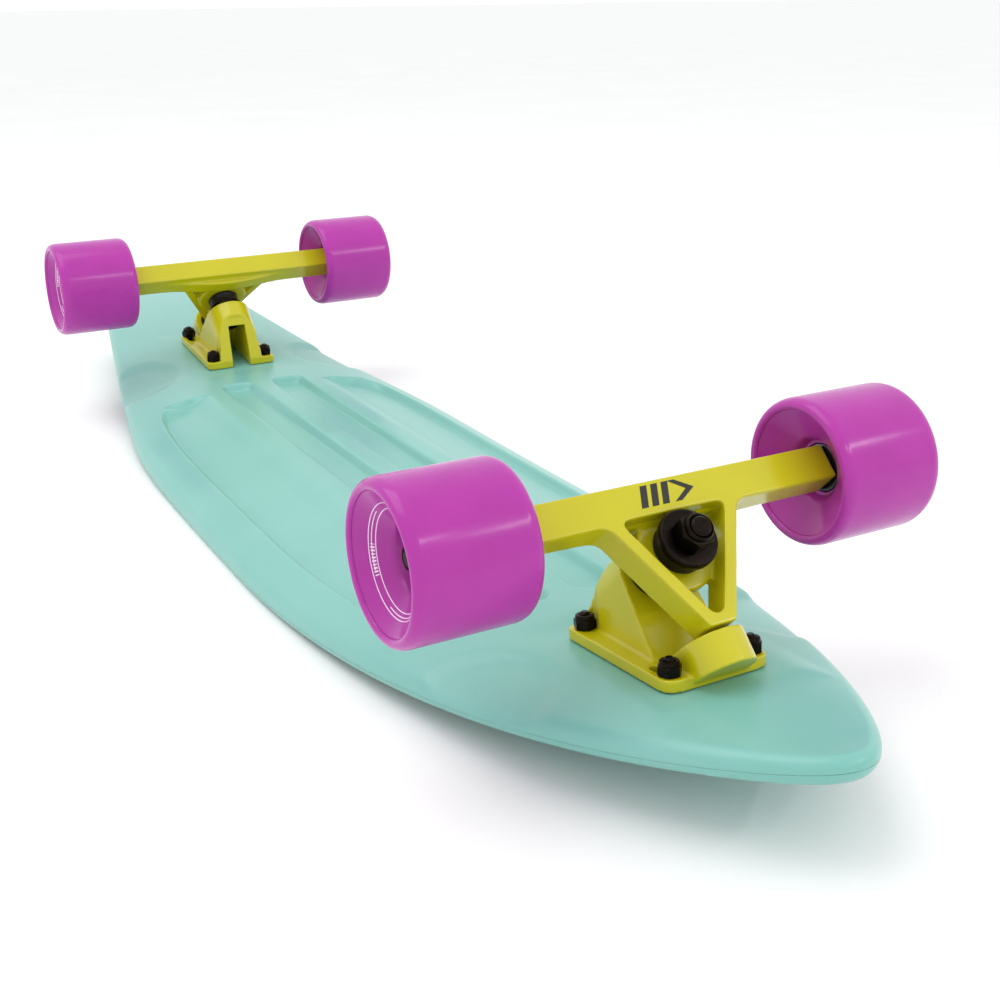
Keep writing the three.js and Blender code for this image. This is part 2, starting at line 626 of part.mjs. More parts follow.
const baseplate = geometryOf(baseplateSolid());
const hanger = geometryOf(hangerSolid());
const kingpinHeadTop = tunnelRoof - GAP;
const kingpin = geometryOf(joined([
  rod(KINGPIN_RADIUS, kingpinHeadTop - OVERLAP, kingpinEnd, SIDES.small),
  hexagon(KINGPIN_HEAD.across, kingpinHeadTop - KINGPIN_HEAD.height, kingpinHeadTop),
]));
const kingpinNut = geometryOf(nutSolid(KINGPIN_NUT, KINGPIN_RADIUS + GAP, kingpinNutFoot));
const lockNut = geometryOf(nutSolid(LOCK_NUT, BOLT_RADIUS + GAP, FLANGE_THICKNESS + GAP));
const axleNut = geometryOf(nutSolid(AXLE_NUT, AXLE_RADIUS + GAP, axleNutY));
const pivotCupFloor = BOSS.bore - GAP;
const pivotCup = turned([
  [0, pivotCupFloor - CUP_WALL / 2],
  [CUP_RADIUS - CUP_WALL, pivotCupFloor - CUP_WALL / 2],
  [CUP_RADIUS - CUP_WALL, GAP],
  [CUP_RADIUS, GAP],
  [CUP_RADIUS, pivotCupFloor],
  [0, pivotCupFloor],
], SIDES.small).rotateY(Math.PI / 2);

// Countersunk bolt from the riding side up through the deck and the baseplate.
function boltProfile(foot, top, clearance) {
  const shank = BOLT_RADIUS + clearance;
  const head = BOLT_HEAD.radius + clearance;
  return [[0, foot], [head, foot], [shank, foot + BOLT_HEAD.height + clearance], [shank, top], [0, top]];
}

// A flat of each wheel's tread faces straight up.
const wheelTurn = THREE.MathUtils.degToRad(STEER_ANGLE - TRUCK_TILT) + Math.PI / WHEEL_SIDES;

let deckSolid = solidOf(deckMesh());
const board = new THREE.Group();

// Left is +Y. The rear truck is the front one turned round.
for (const [end, ahead] of [['front', 1], ['rear', -1]]) {
  const truck = new THREE.Group();
  truck.position.set(TRUCK_X * ahead, 0, centreHeight(TRUCK_X) + GAP);
  truck.rotation.set(0, -THREE.MathUtils.degToRad(TRUCK_TILT), ahead > 0 ? 0 : Math.PI, 'ZYX');
  truck.updateMatrix();
  board.add(truck);

  truck.add(part(`${end}_baseplate`, 'truck', baseplate));
  for (const { x, y } of boltPlaces) {
    const place = `${end}_${x > 0 ? 'outer' : 'inner'}_${y * ahead > 0 ? 'left' : 'right'}`;
    const above = new THREE.Vector3(x, y, 0).applyMatrix4(truck.matrix);
    const drop = (ridingSide(above.x, above.y) - above.z) / Math.cos(THREE.MathUtils.degToRad(TRUCK_TILT));
    const headFoot = drop + BOLT_HEAD.sunk;
    const boltTop = FLANGE_THICKNESS + GAP + LOCK_NUT.height + LOCK_NUT.collarHeight + BOLT_PROUD;
    const hole = turned(boltProfile(headFoot, THROUGH, GAP), SIDES.bolt).translate(x, y, 0);
    const mouth = rod(BOLT_HEAD.radius + GAP, headFoot - THROUGH, headFoot + GAP, SIDES.bolt)
      .translate(x, y, 0);
    deckSolid = cut(deckSolid, [hole, mouth].map((cutter) => cutter.applyMatrix4(truck.matrix)));
    const bolt = part(`${place}_bolt`, 'hardware', turned(boltProfile(headFoot, boltTop, 0), SIDES.bolt));
    const nut = part(`${place}_lock_nut`, 'hardware', lockNut);
    bolt.position.set(x, y, 0);
    nut.position.set(x, y, 0);
    truck.add(bolt, nut);
  }

  const steering = new THREE.Group();
  steering.applyMatrix4(steeringFrame);
  truck.add(steering);
  steering.add(part(`${end}_hanger`, 'truck', hanger));
  steering.add(part(`${end}_axle`, 'steel', rod(AXLE_RADIUS, -axleEnd, axleEnd, SIDES.small).applyMatrix4(ontoY)));
  const cup = part(`${end}_pivot_cup`, 'urethane', pivotCup);
  cup.position.set(PIVOT_X, 0, STEER_DEPTH);
  steering.add(cup);

  const onKingpin = [
    part(`${end}_kingpin`, 'hardware', kingpin),
    part(`${end}_kingpin_nut`, 'hardware', kingpinNut),
    part(`${end}_board_bushing`, 'urethane', bushing(boardBushingFoot, seatBack - GAP)),
    part(`${end}_road_bushing`, 'urethane', bushing(seatFront + GAP, roadBushingTop)),
    part(`${end}_board_washer`, 'hardware', cupWasher.clone().translate(0, 0, housingFace + GAP)),
    part(`${end}_road_washer`, 'hardware', cupWasher.clone().rotateX(Math.PI)
      .translate(0, 0, roadWasherFoot + WASHER.plate)),
  ];
  for (const piece of onKingpin) {
    piece.position.set(KINGPIN_X, 0, 0);
    steering.add(piece);
  }

  for (const outward of [1, -1]) {
    const side = outward * ahead > 0 ? 'left' : 'right';
    const hub = new THREE.Group();
    hub.rotation.set(-Math.PI / 2, 0, outward > 0 ? 0 : Math.PI, 'ZXY');
    steering.add(hub);
    const wheel = part(`${end}_${side}_wheel`, 'wheel', wheelGeometry());
    wheel.position.z = wheelInnerY;
    wheel.rotation.z = -outward * wheelTurn;
    hub.add(wheel);
    const bore = AXLE_RADIUS + GAP;
    for (const [place, low] of [['inner', innerBearingY], ['outer', outerBearingY]]) {
      const bearing = sleeve(bore, BEARING.radius, low, low + BEARING.width, SIDES.small);
      hub.add(part(`${end}_${side}_${place}_bearing`, 'steel', bearing));
    }
    const spacer = sleeve(bore, bore + SPACER.wall, spacerY, spacerY + SPACER.length, SIDES.bolt);
    hub.add(part(`${end}_${side}_spacer`, 'steel', spacer));
    hub.add(part(`${end}_${side}_axle_nut`, 'hardware', axleNut));
  }
}

const deck = part('deck', 'deck', geometryOf(deckSolid));
board.add(deck);

// The board lies on the lowest part of the deck's rim, with its middle over the origin.
const deckBox = new THREE.Box3().setFromObject(deck);
board.position.x = -(deckBox.min.x + deckBox.max.x) / 2;
board.position.z = -deckBox.min.z;

export default board;
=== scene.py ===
import math
import bmesh
import bpy
import numpy as np
from mathutils import Matrix


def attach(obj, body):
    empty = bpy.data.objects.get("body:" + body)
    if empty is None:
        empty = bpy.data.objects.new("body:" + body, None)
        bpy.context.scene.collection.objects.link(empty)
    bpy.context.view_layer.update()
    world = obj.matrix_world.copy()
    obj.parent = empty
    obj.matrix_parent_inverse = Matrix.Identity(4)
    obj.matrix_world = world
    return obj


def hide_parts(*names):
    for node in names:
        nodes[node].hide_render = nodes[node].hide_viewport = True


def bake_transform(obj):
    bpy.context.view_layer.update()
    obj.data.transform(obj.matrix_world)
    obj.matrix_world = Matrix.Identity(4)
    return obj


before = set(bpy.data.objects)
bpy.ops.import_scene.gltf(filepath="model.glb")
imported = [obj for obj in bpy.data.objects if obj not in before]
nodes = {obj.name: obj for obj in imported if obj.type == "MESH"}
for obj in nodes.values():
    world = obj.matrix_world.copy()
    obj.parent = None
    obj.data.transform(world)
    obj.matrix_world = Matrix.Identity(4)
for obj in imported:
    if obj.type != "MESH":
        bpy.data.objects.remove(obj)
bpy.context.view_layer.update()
print("frame loaded")

# Lengths are in millimetres from the middle of the wheelbase, as in the part.
# This moves them to the row frame.
boardShift = np.array([36.0, 0.0, -2.7627])
gap = 0.3  # clear space between neighbouring pieces


# Eases from 0 to 1: three times t squared, less twice t cubed.
def smooth(t):
    u = np.clip(t, 0, 1)
    return u * u * (3 - 2 * u)


# A ramp from zero with its corner rounded: ease times the log of 1 plus exp(distance / ease).
def softRamp(distance, ease):
    return ease * np.logaddexp(0, distance / ease)


# Turns about the axes, and moves, as 4 by 4 arrays.
def turnX(degrees):
    return np.array(Matrix.Rotation(math.radians(degrees), 4, "X"))


def turnY(degrees):
    return np.array(Matrix.Rotation(math.radians(degrees), 4, "Y"))


def turnZ(degrees):
    return np.array(Matrix.Rotation(math.radians(degrees), 4, "Z"))


def shift(x, y, z):
    return np.array(Matrix.Translation((x, y, z)))


# Points carried by a matrix: turned, then moved.
def placed(points, matrix):
    return points @ matrix[:3, :3].T + matrix[:3, 3]


# Quads between neighbouring rows of a grid of points; wrap joins the last column to the first.
def gridQuads(rows, columns, wrap=False):
    i = np.arange(rows - 1)[:, None]
    j = np.arange(columns if wrap else columns - 1)[None, :]
    k = (j + 1) % columns
    quads = [i * columns + j, i * columns + k, (i + 1) * columns + k, (i + 1) * columns + j]
    return np.stack(quads, -1).reshape(-1, 4)


# A mesh object from points in millimetres; doubles are merged and faces turned outwards.
def addPiece(name, points, faces, material, body, replaced=(), slot=None, uv=None,
             faceMaterials=None, merge=0.004):
    mesh = bpy.data.meshes.new(name)
    mesh.from_pydata(((points + boardShift) / 1000).tolist(), [], faces.tolist())
    materials = material if isinstance(material, list) else [material]
    for item in materials:
        mesh.materials.append(item)
    if faceMaterials is not None:
        mesh.polygons.foreach_set("material_index", np.asarray(faceMaterials, dtype=np.int32))
    if uv is not None:
        layer = mesh.uv_layers.new(name="surface")
        layer.data.foreach_set("uv", np.asarray(uv, dtype=np.float32).ravel())
    finishMesh(mesh, merge)
    piece = bpy.data.objects.new(name, mesh)
    bpy.context.scene.collection.objects.link(piece)
    if body:
        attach(piece, body)
    if replaced:
        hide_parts(*replaced)
    return piece


# Merges doubles, turns faces outwards, and shades smooth up to the sharp angle.
def finishMesh(mesh, merge=0.004, sharpDegrees=38):
    work = bmesh.new()
    work.from_mesh(mesh)
    bmesh.ops.remove_doubles(work, verts=work.verts, dist=merge / 1000)
    bmesh.ops.dissolve_degenerate(work, edges=work.edges, dist=1e-7)
    bmesh.ops.recalc_face_normals(work, faces=work.faces)
    work.to_mesh(mesh)
    work.free()
    mesh.polygons.foreach_set("use_smooth", np.ones(len(mesh.polygons), dtype=bool))
    mesh.set_sharp_from_angle(angle=math.radians(sharpDegrees))


# Rounds the corners of a profile: each [radius, height, rounding] corner becomes an arc of that size.
def roundedProfile(corners, closed, steps=4):
    points = np.array([c[:2] for c in corners], dtype=float)
    count = len(points)
    out = []
    for i, corner in enumerate(corners):
        size = corner[2] if len(corner) > 2 else 0
        if size == 0 or (not closed and i in (0, count - 1)):
            out.append(points[i])
            continue
        back = points[i - 1] - points[i]
        ahead = points[(i + 1) % count] - points[i]
        reach = min(size, 0.49 * np.linalg.norm(back), 0.49 * np.linalg.norm(ahead))
        start = points[i] + back / np.linalg.norm(back) * reach
        end = points[i] + ahead / np.linalg.norm(ahead) * reach
        t = np.linspace(0, 1, steps + 1)[:, None]
        out.extend((1 - t) ** 2 * start + 2 * t * (1 - t) * points[i] + t ** 2 * end)
    return np.array(out)


# A profile of (radius, height) turned about Z. A closed profile makes a ring, and an open one starts and
# ends on the axis.
def lathe(profile, count, closed):
    profile = np.vstack([profile, profile[:1]]) if closed else profile
    angles = np.arange(count) * 2 * np.pi / count
    ring = np.stack([np.cos(angles), np.sin(angles)], -1)
    turned = profile[:, None, :1] * ring[None]
    heights = np.broadcast_to(profile[:, None, 1:], (len(profile), count, 1))
    points = np.concatenate([turned, heights], -1)
    faces = gridQuads(len(profile), count, wrap=True)
    along = np.concatenate([[0], np.cumsum(np.linalg.norm(np.diff(profile, axis=0), axis=1))])
    i = np.repeat(np.arange(len(profile) - 1), count)
    j = np.tile(np.arange(count), len(profile) - 1)
    u = np.stack([j, j + 1, j + 1, j], -1) / count
    v = np.stack([along[i], along[i], along[i + 1], along[i + 1]], -1) / 100
    return points.reshape(-1, 3), faces, np.stack([u, v], -1).reshape(-1, 2)


# Several point sets and face sets as one.
def together(parts):
    offsets = np.cumsum([0] + [len(p[0]) for p in parts[:-1]])
    points = np.concatenate([p[0] for p in parts])
    faces = np.concatenate([p[1] + offset for p, offset in zip(parts, offsets)])
    return points, faces


# An sRGB hex value turned to linear, with full opacity.
def colour(code):
    values = np.array([int(code[i:i + 2], 16) for i in (1, 3, 5)]) / 255
    linear = np.where(values <= 0.04045, values / 12.92, ((values + 0.055) / 1.055) ** 2.4)
    return (*linear.tolist(), 1.0)


# A new material's node tree, its shader and the material itself.
def newMaterial(name):
    material = bpy.data.materials.new(name)
    material.use_nodes = True
    return material.node_tree, material.node_tree.nodes["Principled BSDF"], material


# A node with its settings. An input is linked if its value is a socket, and set if it isn't.
def addNode(tree, kind, inputs=None, **settings):
    node = tree.nodes.new(kind)
    for key, value in settings.items():
        setattr(node, key, value)
    for key, value in (inputs or {}).items():
        if isinstance(value, bpy.types.NodeSocket):
            tree.links.new(value, node.inputs[key])
        else:
            node.inputs[key].default_value = value
    return node


def setSockets(shader, values):
    for key, value in values.items():
        shader.inputs[key].default_value = value


# Injection-moulded polypropylene: satin and a little cloudy. The fine orange peel from the mould shows on the
# raised diamonds of the riding side only.
def mouldedPolypropylene():
    look = {
        "base": "#6FB3A8", "cloud": "#86BDB5", "cloudSize": 60, "smoothest": 0.25, "roughest": 0.37,
        "peelSize": 1.4, "reliefHeight": 0.6,
    }
    tree, shader, material = newMaterial("moulded polypropylene, satin mint")
    place = addNode(tree, "ShaderNodeTexCoord").outputs["Object"]
    cloud = addNode(tree, "ShaderNodeTexNoise", {
        "Vector": place, "Scale": 1000 / look["cloudSize"], "Detail": 3})
    mix = addNode(tree, "ShaderNodeMix", {"Factor": cloud.outputs["Fac"]}, data_type="RGBA")
    mix.inputs[6].default_value = colour(look["base"])
    mix.inputs[7].default_value = colour(look["cloud"])
    tree.links.new(mix.outputs[2], shader.inputs["Base Color"])
    peel = addNode(tree, "ShaderNodeTexNoise", {"Vector": place, "Scale": 1000 / look["peelSize"], "Detail": 2})
    rough = addNode(tree, "ShaderNodeMapRange", {
        "Value": cloud.outputs["Fac"], "To Min": look["smoothest"], "To Max": look["roughest"]})
    tree.links.new(rough.outputs["Result"], shader.inputs["Roughness"])
    grip = gripPattern(tree, place)
    height = addNode(tree, "ShaderNodeMath", {
        0: peel.outputs["Fac"], 1: grip, 2: grip}, operation="MULTIPLY_ADD")
    bump = addNode(tree, "ShaderNodeBump", {
        "Height": height.outputs[0], "Strength": 0.5, "Distance": look["reliefHeight"] / 1000})
    tree.links.new(bump.outputs["Normal"], shader.inputs["Normal"])
    setSockets(shader, {"IOR": 1.49, "Subsurface Weight": 0.12, "Subsurface Radius": (0.004, 0.006, 0.005),
                        "Subsurface Scale": 1.0})
    return material


# Raised diamonds on the riding side only, which are a guess: the lesser of two slanted waves, cut off softly.
def gripPattern(tree, place):
    diamonds = {"size": 9.0, "slant": 0.62, "foot": 0.15, "crown": 0.45}
    split = addNode(tree, "ShaderNodeSeparateXYZ", {"Vector": place})
    waves = []
    for sign in (1, -1):
        lean = addNode(tree, "ShaderNodeMath", {
            0: split.outputs["Y"], 1: diamonds["slant"] * sign, 2: split.outputs["X"]}, operation="MULTIPLY_ADD")
        turn = addNode(tree, "ShaderNodeMath", {
            0: lean.outputs[0], 1: math.pi * 1000 / diamonds["size"]}, operation="MULTIPLY")
        wave = addNode(tree, "ShaderNodeMath", {0: turn.outputs[0]}, operation="SINE")
        waves.append(addNode(tree, "ShaderNodeMath", {0: wave.outputs[0]}, operation="ABSOLUTE").outputs[0])
    both = addNode(tree, "ShaderNodeMath", {0: waves[0], 1: waves[1]}, operation="MINIMUM")
    raised = addNode(tree, "ShaderNodeMapRange", {
        "Value": both.outputs[0], "From Min": diamonds["foot"], "From Max": diamonds["crown"],
    }, interpolation_type="SMOOTHSTEP")
    side = addNode(tree, "ShaderNodeAttribute", attribute_name="riding")
    return addNode(tree, "ShaderNodeMath", {
        0: raised.outputs["Result"], 1: side.outputs["Fac"]}, operation="MULTIPLY").outputs[0]


# Gloss powder paint over die-cast aluminium: smooth with a faint orange peel, a shade darker where thin.
def glossPaint():
    look = {
        "base": "#C6BE0E", "thin": "#BAB20C", "patchSize": 25, "smoothest": 0.18, "roughest": 0.28,
        "peelSize": 1.8, "peelHeight": 0.3,
    }
    tree, shader, material = newMaterial("gloss powder paint, lime yellow")
    place = addNode(tree, "ShaderNodeTexCoord").outputs["Object"]
    patch = addNode(tree, "ShaderNodeTexNoise", {"Vector": place, "Scale": 1000 / look["patchSize"], "Detail": 2})
    mix = addNode(tree, "ShaderNodeMix", {"Factor": patch.outputs["Fac"]}, data_type="RGBA")
    mix.inputs[6].default_value = colour(look["base"])
    mix.inputs[7].default_value = colour(look["thin"])
    tree.links.new(mix.outputs[2], shader.inputs["Base Color"])
    peel = addNode(tree, "ShaderNodeTexNoise", {"Vector": place, "Scale": 1000 / look["peelSize"], "Detail": 2})
    bump = addNode(tree, "ShaderNodeBump", {
        "Height": peel.outputs["Fac"], "Strength": 0.12, "Distance": look["peelHeight"] / 1000})
    tree.links.new(bump.outputs["Normal"], shader.inputs["Normal"])
    rough = addNode(tree, "ShaderNodeMapRange", {
        "Value": patch.outputs["Fac"], "To Min": look["smoothest"], "To Max": look["roughest"]})
    tree.links.new(rough.outputs["Result"], shader.inputs["Roughness"])
    setSockets(shader, {"IOR": 1.5, "Specular IOR Level": 0.42, "Coat Weight": 0.25, "Coat Roughness": 0.08})
    return material


# Cast urethane: glossy and slightly translucent, with printed thin rings and dashes on each wheel's outer cone.
def castUrethane():
    look = {
        "base": "#B234A2", "deep": "#A62F97", "cloudSize": 18, "smoothest": 0.14, "roughest": 0.24,
        "peelSize": 2.5, "peelHeight": 0.3,
    }
    tree, shader, material = newMaterial("cast urethane, gloss purple")
    coordinates = addNode(tree, "ShaderNodeTexCoord")
    place = coordinates.outputs["Object"]
    cloud = addNode(tree, "ShaderNodeTexNoise", {
        "Vector": place, "Scale": 1000 / look["cloudSize"], "Detail": 2})
    mix = addNode(tree, "ShaderNodeMix", {"Factor": cloud.outputs["Fac"]}, data_type="RGBA")
    mix.inputs[6].default_value = colour(look["base"])
    mix.inputs[7].default_value = colour(look["deep"])
    ink = addNode(tree, "ShaderNodeMix", {"Factor": printedRings(tree, coordinates.outputs["UV"])}, data_type="RGBA")
    tree.links.new(mix.outputs[2], ink.inputs[6])
    ink.inputs[7].default_value = colour(ringPrint["colour"])
    tree.links.new(ink.outputs[2], shader.inputs["Base Color"])
    rough = addNode(tree, "ShaderNodeMapRange", {
        "Value": cloud.outputs["Fac"], "To Min": look["smoothest"], "To Max": look["roughest"]})
    tree.links.new(rough.outputs["Result"], shader.inputs["Roughness"])
    peel = addNode(tree, "ShaderNodeTexNoise", {"Vector": place, "Scale": 1000 / look["peelSize"], "Detail": 1})
    bump = addNode(tree, "ShaderNodeBump", {
        "Height": peel.outputs["Fac"], "Strength": 0.08, "Distance": look["peelHeight"] / 1000})
    tree.links.new(bump.outputs["Normal"], shader.inputs["Normal"])
    setSockets(shader, {"IOR": 1.5, "Specular IOR Level": 0.35, "Subsurface Weight": 0.3,
                        "Subsurface Radius": (0.006, 0.002, 0.005), "Subsurface Scale": 1.0})
    return material


# Print on the outer cone. Each band: its inner radius and width in mm, dashes round the wheel and the share of
# each that is inked, then groups round the wheel and the share of each group that has dashes.
ringPrint = {
    "colour": "#F0DDEE", "groupTurn": 0.62,
    "bands": [
        [22.8, 0.3, 1, 1.0, 1, 1.0], [21.7, 0.3, 3, 0.62, 1, 1.0],
        [20.3, 0.3, 1, 1.0, 1, 1.0], [20.9, 1.4, 96, 0.45, 3, 0.3],
    ],
}


# Where the print is: U runs round the wheel, and V is the radius over 100 on the outer cone.
def printedRings(tree, uv):
    split = addNode(tree, "ShaderNodeSeparateXYZ", {"Vector": uv})
    total = None
    for start, width, dashes, share, groups, part in ringPrint["bands"]:
        band = addNode(tree, "ShaderNodeMath", {
            0: split.outputs["Y"], 1: (start + width / 2) / 100, 2: width / 200}, operation="COMPARE")
        for count, inked, late in ((dashes, share, 0), (groups, part, ringPrint["groupTurn"])):
            turn = addNode(tree, "ShaderNodeMath", {
                0: split.outputs["X"], 1: count, 2: late}, operation="MULTIPLY_ADD")
            step = addNode(tree, "ShaderNodeMath", {0: turn.outputs[0]}, operation="FRACT")
            on = addNode(tree, "ShaderNodeMath", {0: step.outputs[0], 1: inked}, operation="LESS_THAN")
            band = addNode(tree, "ShaderNodeMath", {0: band.outputs[0], 1: on.outputs[0]}, operation="MULTIPLY")
        if total is None:
            total = band.outputs[0]
        else:
            total = addNode(tree, "ShaderNodeMath", {0: total, 1: band.outputs[0]}, operation="MAXIMUM").outputs[0]
    return total


# Black oxide on machined steel: dark and satin, a little browner where it has rubbed.
def blackOxide():
    look = {"base": "#141312", "rubbed": "#2A221D", "rubSize": 3, "smoothest": 0.25, "roughest": 0.42}
    tree, shader, material = newMaterial("black oxide steel, satin")
    place = addNode(tree, "ShaderNodeTexCoord").outputs["Object"]
    rub = addNode(tree, "ShaderNodeTexNoise", {"Vector": place, "Scale": 1000 / look["rubSize"], "Detail": 3})
    mix = addNode(tree, "ShaderNodeMix", {"Factor": rub.outputs["Fac"]}, data_type="RGBA")
    mix.inputs[6].default_value = colour(look["base"])
    mix.inputs[7].default_value = colour(look["rubbed"])
    tree.links.new(mix.outputs[2], shader.inputs["Base Color"])
    rough = addNode(tree, "ShaderNodeMapRange", {
        "Value": rub.outputs["Fac"], "To Min": look["smoothest"], "To Max": look["roughest"]})
    tree.links.new(rough.outputs["Result"], shader.inputs["Roughness"])
    setSockets(shader, {"Metallic": 1.0})
    return material


# Ground and turned steel: bright, with fine uneven marks.
def turnedSteel():
    look = {"base": "#5E6166", "markSize": 1.2, "markHeight": 0.1, "smoothest": 0.2, "roughest": 0.36}
    tree, shader, material = newMaterial("turned steel, bright")
    place = addNode(tree, "ShaderNodeTexCoord").outputs["Object"]
    marks = addNode(tree, "ShaderNodeTexNoise", {"Vector": place, "Scale": 1000 / look["markSize"], "Detail": 2})
    rough = addNode(tree, "ShaderNodeMapRange", {
        "Value": marks.outputs["Fac"], "To Min": look["smoothest"], "To Max": look["roughest"]})
    tree.links.new(rough.outputs["Result"], shader.inputs["Roughness"])
    bump = addNode(tree, "ShaderNodeBump", {
        "Height": marks.outputs["Fac"], "Strength": 0.05, "Distance": look["markHeight"] / 1000})
    tree.links.new(bump.outputs["Normal"], shader.inputs["Normal"])
    setSockets(shader, {"Base Color": colour(look["base"]), "Metallic": 1.0})
    return material


# Black urethane and rubber seals: dark, slightly waxy, with a faint skin texture.
def blackUrethane():
    look = {"base": "#121213", "waxy": "#1C1B1C", "skinSize": 1.5, "skinHeight": 0.2}
    tree, shader, material = newMaterial("black urethane, satin")
    place = addNode(tree, "ShaderNodeTexCoord").outputs["Object"]
    skin = addNode(tree, "ShaderNodeTexNoise", {"Vector": place, "Scale": 1000 / look["skinSize"], "Detail": 2})
    mix = addNode(tree, "ShaderNodeMix", {"Factor": skin.outputs["Fac"]}, data_type="RGBA")
    mix.inputs[6].default_value = colour(look["base"])
    mix.inputs[7].default_value = colour(look["waxy"])
    tree.links.new(mix.outputs[2], shader.inputs["Base Color"])
    bump = addNode(tree, "ShaderNodeBump", {
        "Height": skin.outputs["Fac"], "Strength": 0.1, "Distance": look["skinHeight"] / 1000})
    tree.links.new(bump.outputs["Normal"], shader.inputs["Normal"])
    setSockets(shader, {"IOR": 1.5, "Roughness": 0.34, "Specular IOR Level": 0.25})
    return material


# Screen-printed black ink on the paint: flat, with slight unevenness.
def blackInk():
    look = {"base": "#141410", "thin": "#1F1E18", "filmSize": 2}
    tree, shader, material = newMaterial("screen-print ink, black")
    place = addNode(tree, "ShaderNodeTexCoord").outputs["Object"]
    film = addNode(tree, "ShaderNodeTexNoise", {"Vector": place, "Scale": 1000 / look["filmSize"], "Detail": 2})
    mix = addNode(tree, "ShaderNodeMix", {"Factor": film.outputs["Fac"]}, data_type="RGBA")
    mix.inputs[6].default_value = colour(look["base"])
    mix.inputs[7].default_value = colour(look["thin"])
    tree.links.new(mix.outputs[2], shader.inputs["Base Color"])
    setSockets(shader, {"IOR": 1.5, "Roughness": 0.4})
    return material


plastic = mouldedPolypropylene()
paint = glossPaint()
oxide = blackOxide()
steel = turnedSteel()
urethane = blackUrethane()
inkBlack = blackInk()
purple = castUrethane()
print("materials made")

# The deck's own sizes. Those across are from its middle line, and X is from the middle of the wheelbase.
deck = {
    "width": 227, "widestX": 63, "noseX": 421, "tailX": 493, "truckX": 300.7,
    "noseFullness": 2.03, "nosePower": 0.68, "noseRounding": 24,
    "taperSlope": 0.184, "taperStart": 157, "taperEase": 27, "endLength": 60, "endPower": 2.5,
    "rimRadius": 6, "noseRise": 38.5, "tailRise": 31, "tailStraightX": 360.7, "risePower": 2.5,
    "centreHeight": 32.5, "kickStart": 255, "kickSlope": 0.1, "kickEase": 25,
    "dishPower": 3.5, "dishEndPower": 16,
    "fieldDepth": 5, "ribHalf": 6, "sideRibInner": 32.5, "sideRibOuter": 42, "ribWall": 5, "sideRibSlope": 20,
    "panelInset": 20, "panelHalfLength": 208, "panelCorner": 26, "grooveHalfLength": 221, "grooveCorner": 9,
    "wellX": 279, "wellY": 80, "wellRadius": 36, "wellDepth": 3, "wellEdge": 8,
    "padHalfX": 43.5, "padHalfY": 31.5, "padEase": 16, "tilt": 5.4,
    "markX": -63, "markHalfX": 3, "markHalfY": 1, "markRadius": 3.6, "markEdge": 1.2, "markHeight": 0.8,
}


# Half the deck's width at x: a superellipse to the nose, a straight taper with a blunt end to the tail.
def halfWidth(x):
    d = deck
    u = np.clip((x - d["widestX"]) / (d["noseX"] - d["widestX"]), 0, 1)
    with np.errstate(divide="ignore", invalid="ignore"):
        rounding = (1 - u ** d["noseRounding"]) ** (0.5 - d["nosePower"])
        nose = (1 - u ** d["noseFullness"]) ** d["nosePower"] * rounding
    nose = np.where(u < 1, np.nan_to_num(nose), 0) * d["width"] / 2
    taper = d["width"] / 2 - d["taperSlope"] * softRamp(-x - d["taperStart"], d["taperEase"])
    past = np.clip(1 - (x + d["tailX"]) / d["endLength"], 0, 1)
    tail = taper * (1 - past ** d["endPower"]) ** (1 / d["endPower"])
    return np.where(x > d["widestX"], nose, tail)


# Height of the rim's middle: a power of the distance from the middle, and a straight line past the tail's bend.
def rimHeight(x):
    d = deck
    rise = np.where(x > 0, d["noseRise"], d["tailRise"])
    curved = np.minimum(np.abs(x), np.where(x > 0, d["noseX"], d["tailStraightX"])) / d["noseX"]
    slope = rise * d["risePower"] / d["noseX"] * curved ** (d["risePower"] - 1)
    return d["rimRadius"] + rise * curved ** d["risePower"] + slope * (np.abs(x) - curved * d["noseX"])


# Height along the middle line: level, then a rounded ramp up to each end.
def centreHeight(x):
    return deck["centreHeight"] + deck["kickSlope"] * softRamp(np.abs(x) - deck["kickStart"], deck["kickEase"])


# Height of the dished sheet above its rim.
def dish(x, y):
    across = np.minimum(np.abs(y) / np.maximum(halfWidth(x), 1e-3), 1)
    height = np.maximum(centreHeight(x) - rimHeight(x) - deck["rimRadius"], 0)
    fade = 1 - (np.abs(x) / np.where(x > 0, deck["noseX"], deck["tailX"])) ** deck["dishEndPower"]
    return height * fade * (1 - across ** deck["dishPower"])


# Depth inside a rectangle's edges, with the corner rounded by an arc.
def insideCorner(along, across, radius):
    rounded = radius - np.hypot(radius - along, radius - across)
    return np.where((along < radius) & (across < radius), rounded, np.minimum(along, across))


# Depth of the recessed field: grooves beside the centre rib and panels outside the side ribs.
def fieldDepth(x, y):
    d = deck
    side = np.abs(y)
    grooveSide = np.minimum(side - d["ribHalf"], d["sideRibInner"] - side)
    groove = insideCorner(d["grooveHalfLength"] - np.abs(x), grooveSide, d["grooveCorner"])
    panelSide = halfWidth(x) - d["panelInset"] - side
    panel = insideCorner(d["panelHalfLength"] - np.abs(x), panelSide, d["panelCorner"])
    slope = smooth((side - d["sideRibOuter"]) / d["sideRibSlope"])
    return d["fieldDepth"] * np.maximum(smooth(groove / d["ribWall"]), smooth(panel / d["ribWall"]) * slope)


# Depth of the round hollow beside each wheel, eased at its edge.
def wellDepth(x, y):
    reach = np.hypot(np.abs(x) - deck["wellX"], np.abs(y) - deck["wellY"])
    return deck["wellDepth"] * smooth((deck["wellRadius"] - reach) / deck["wellEdge"])


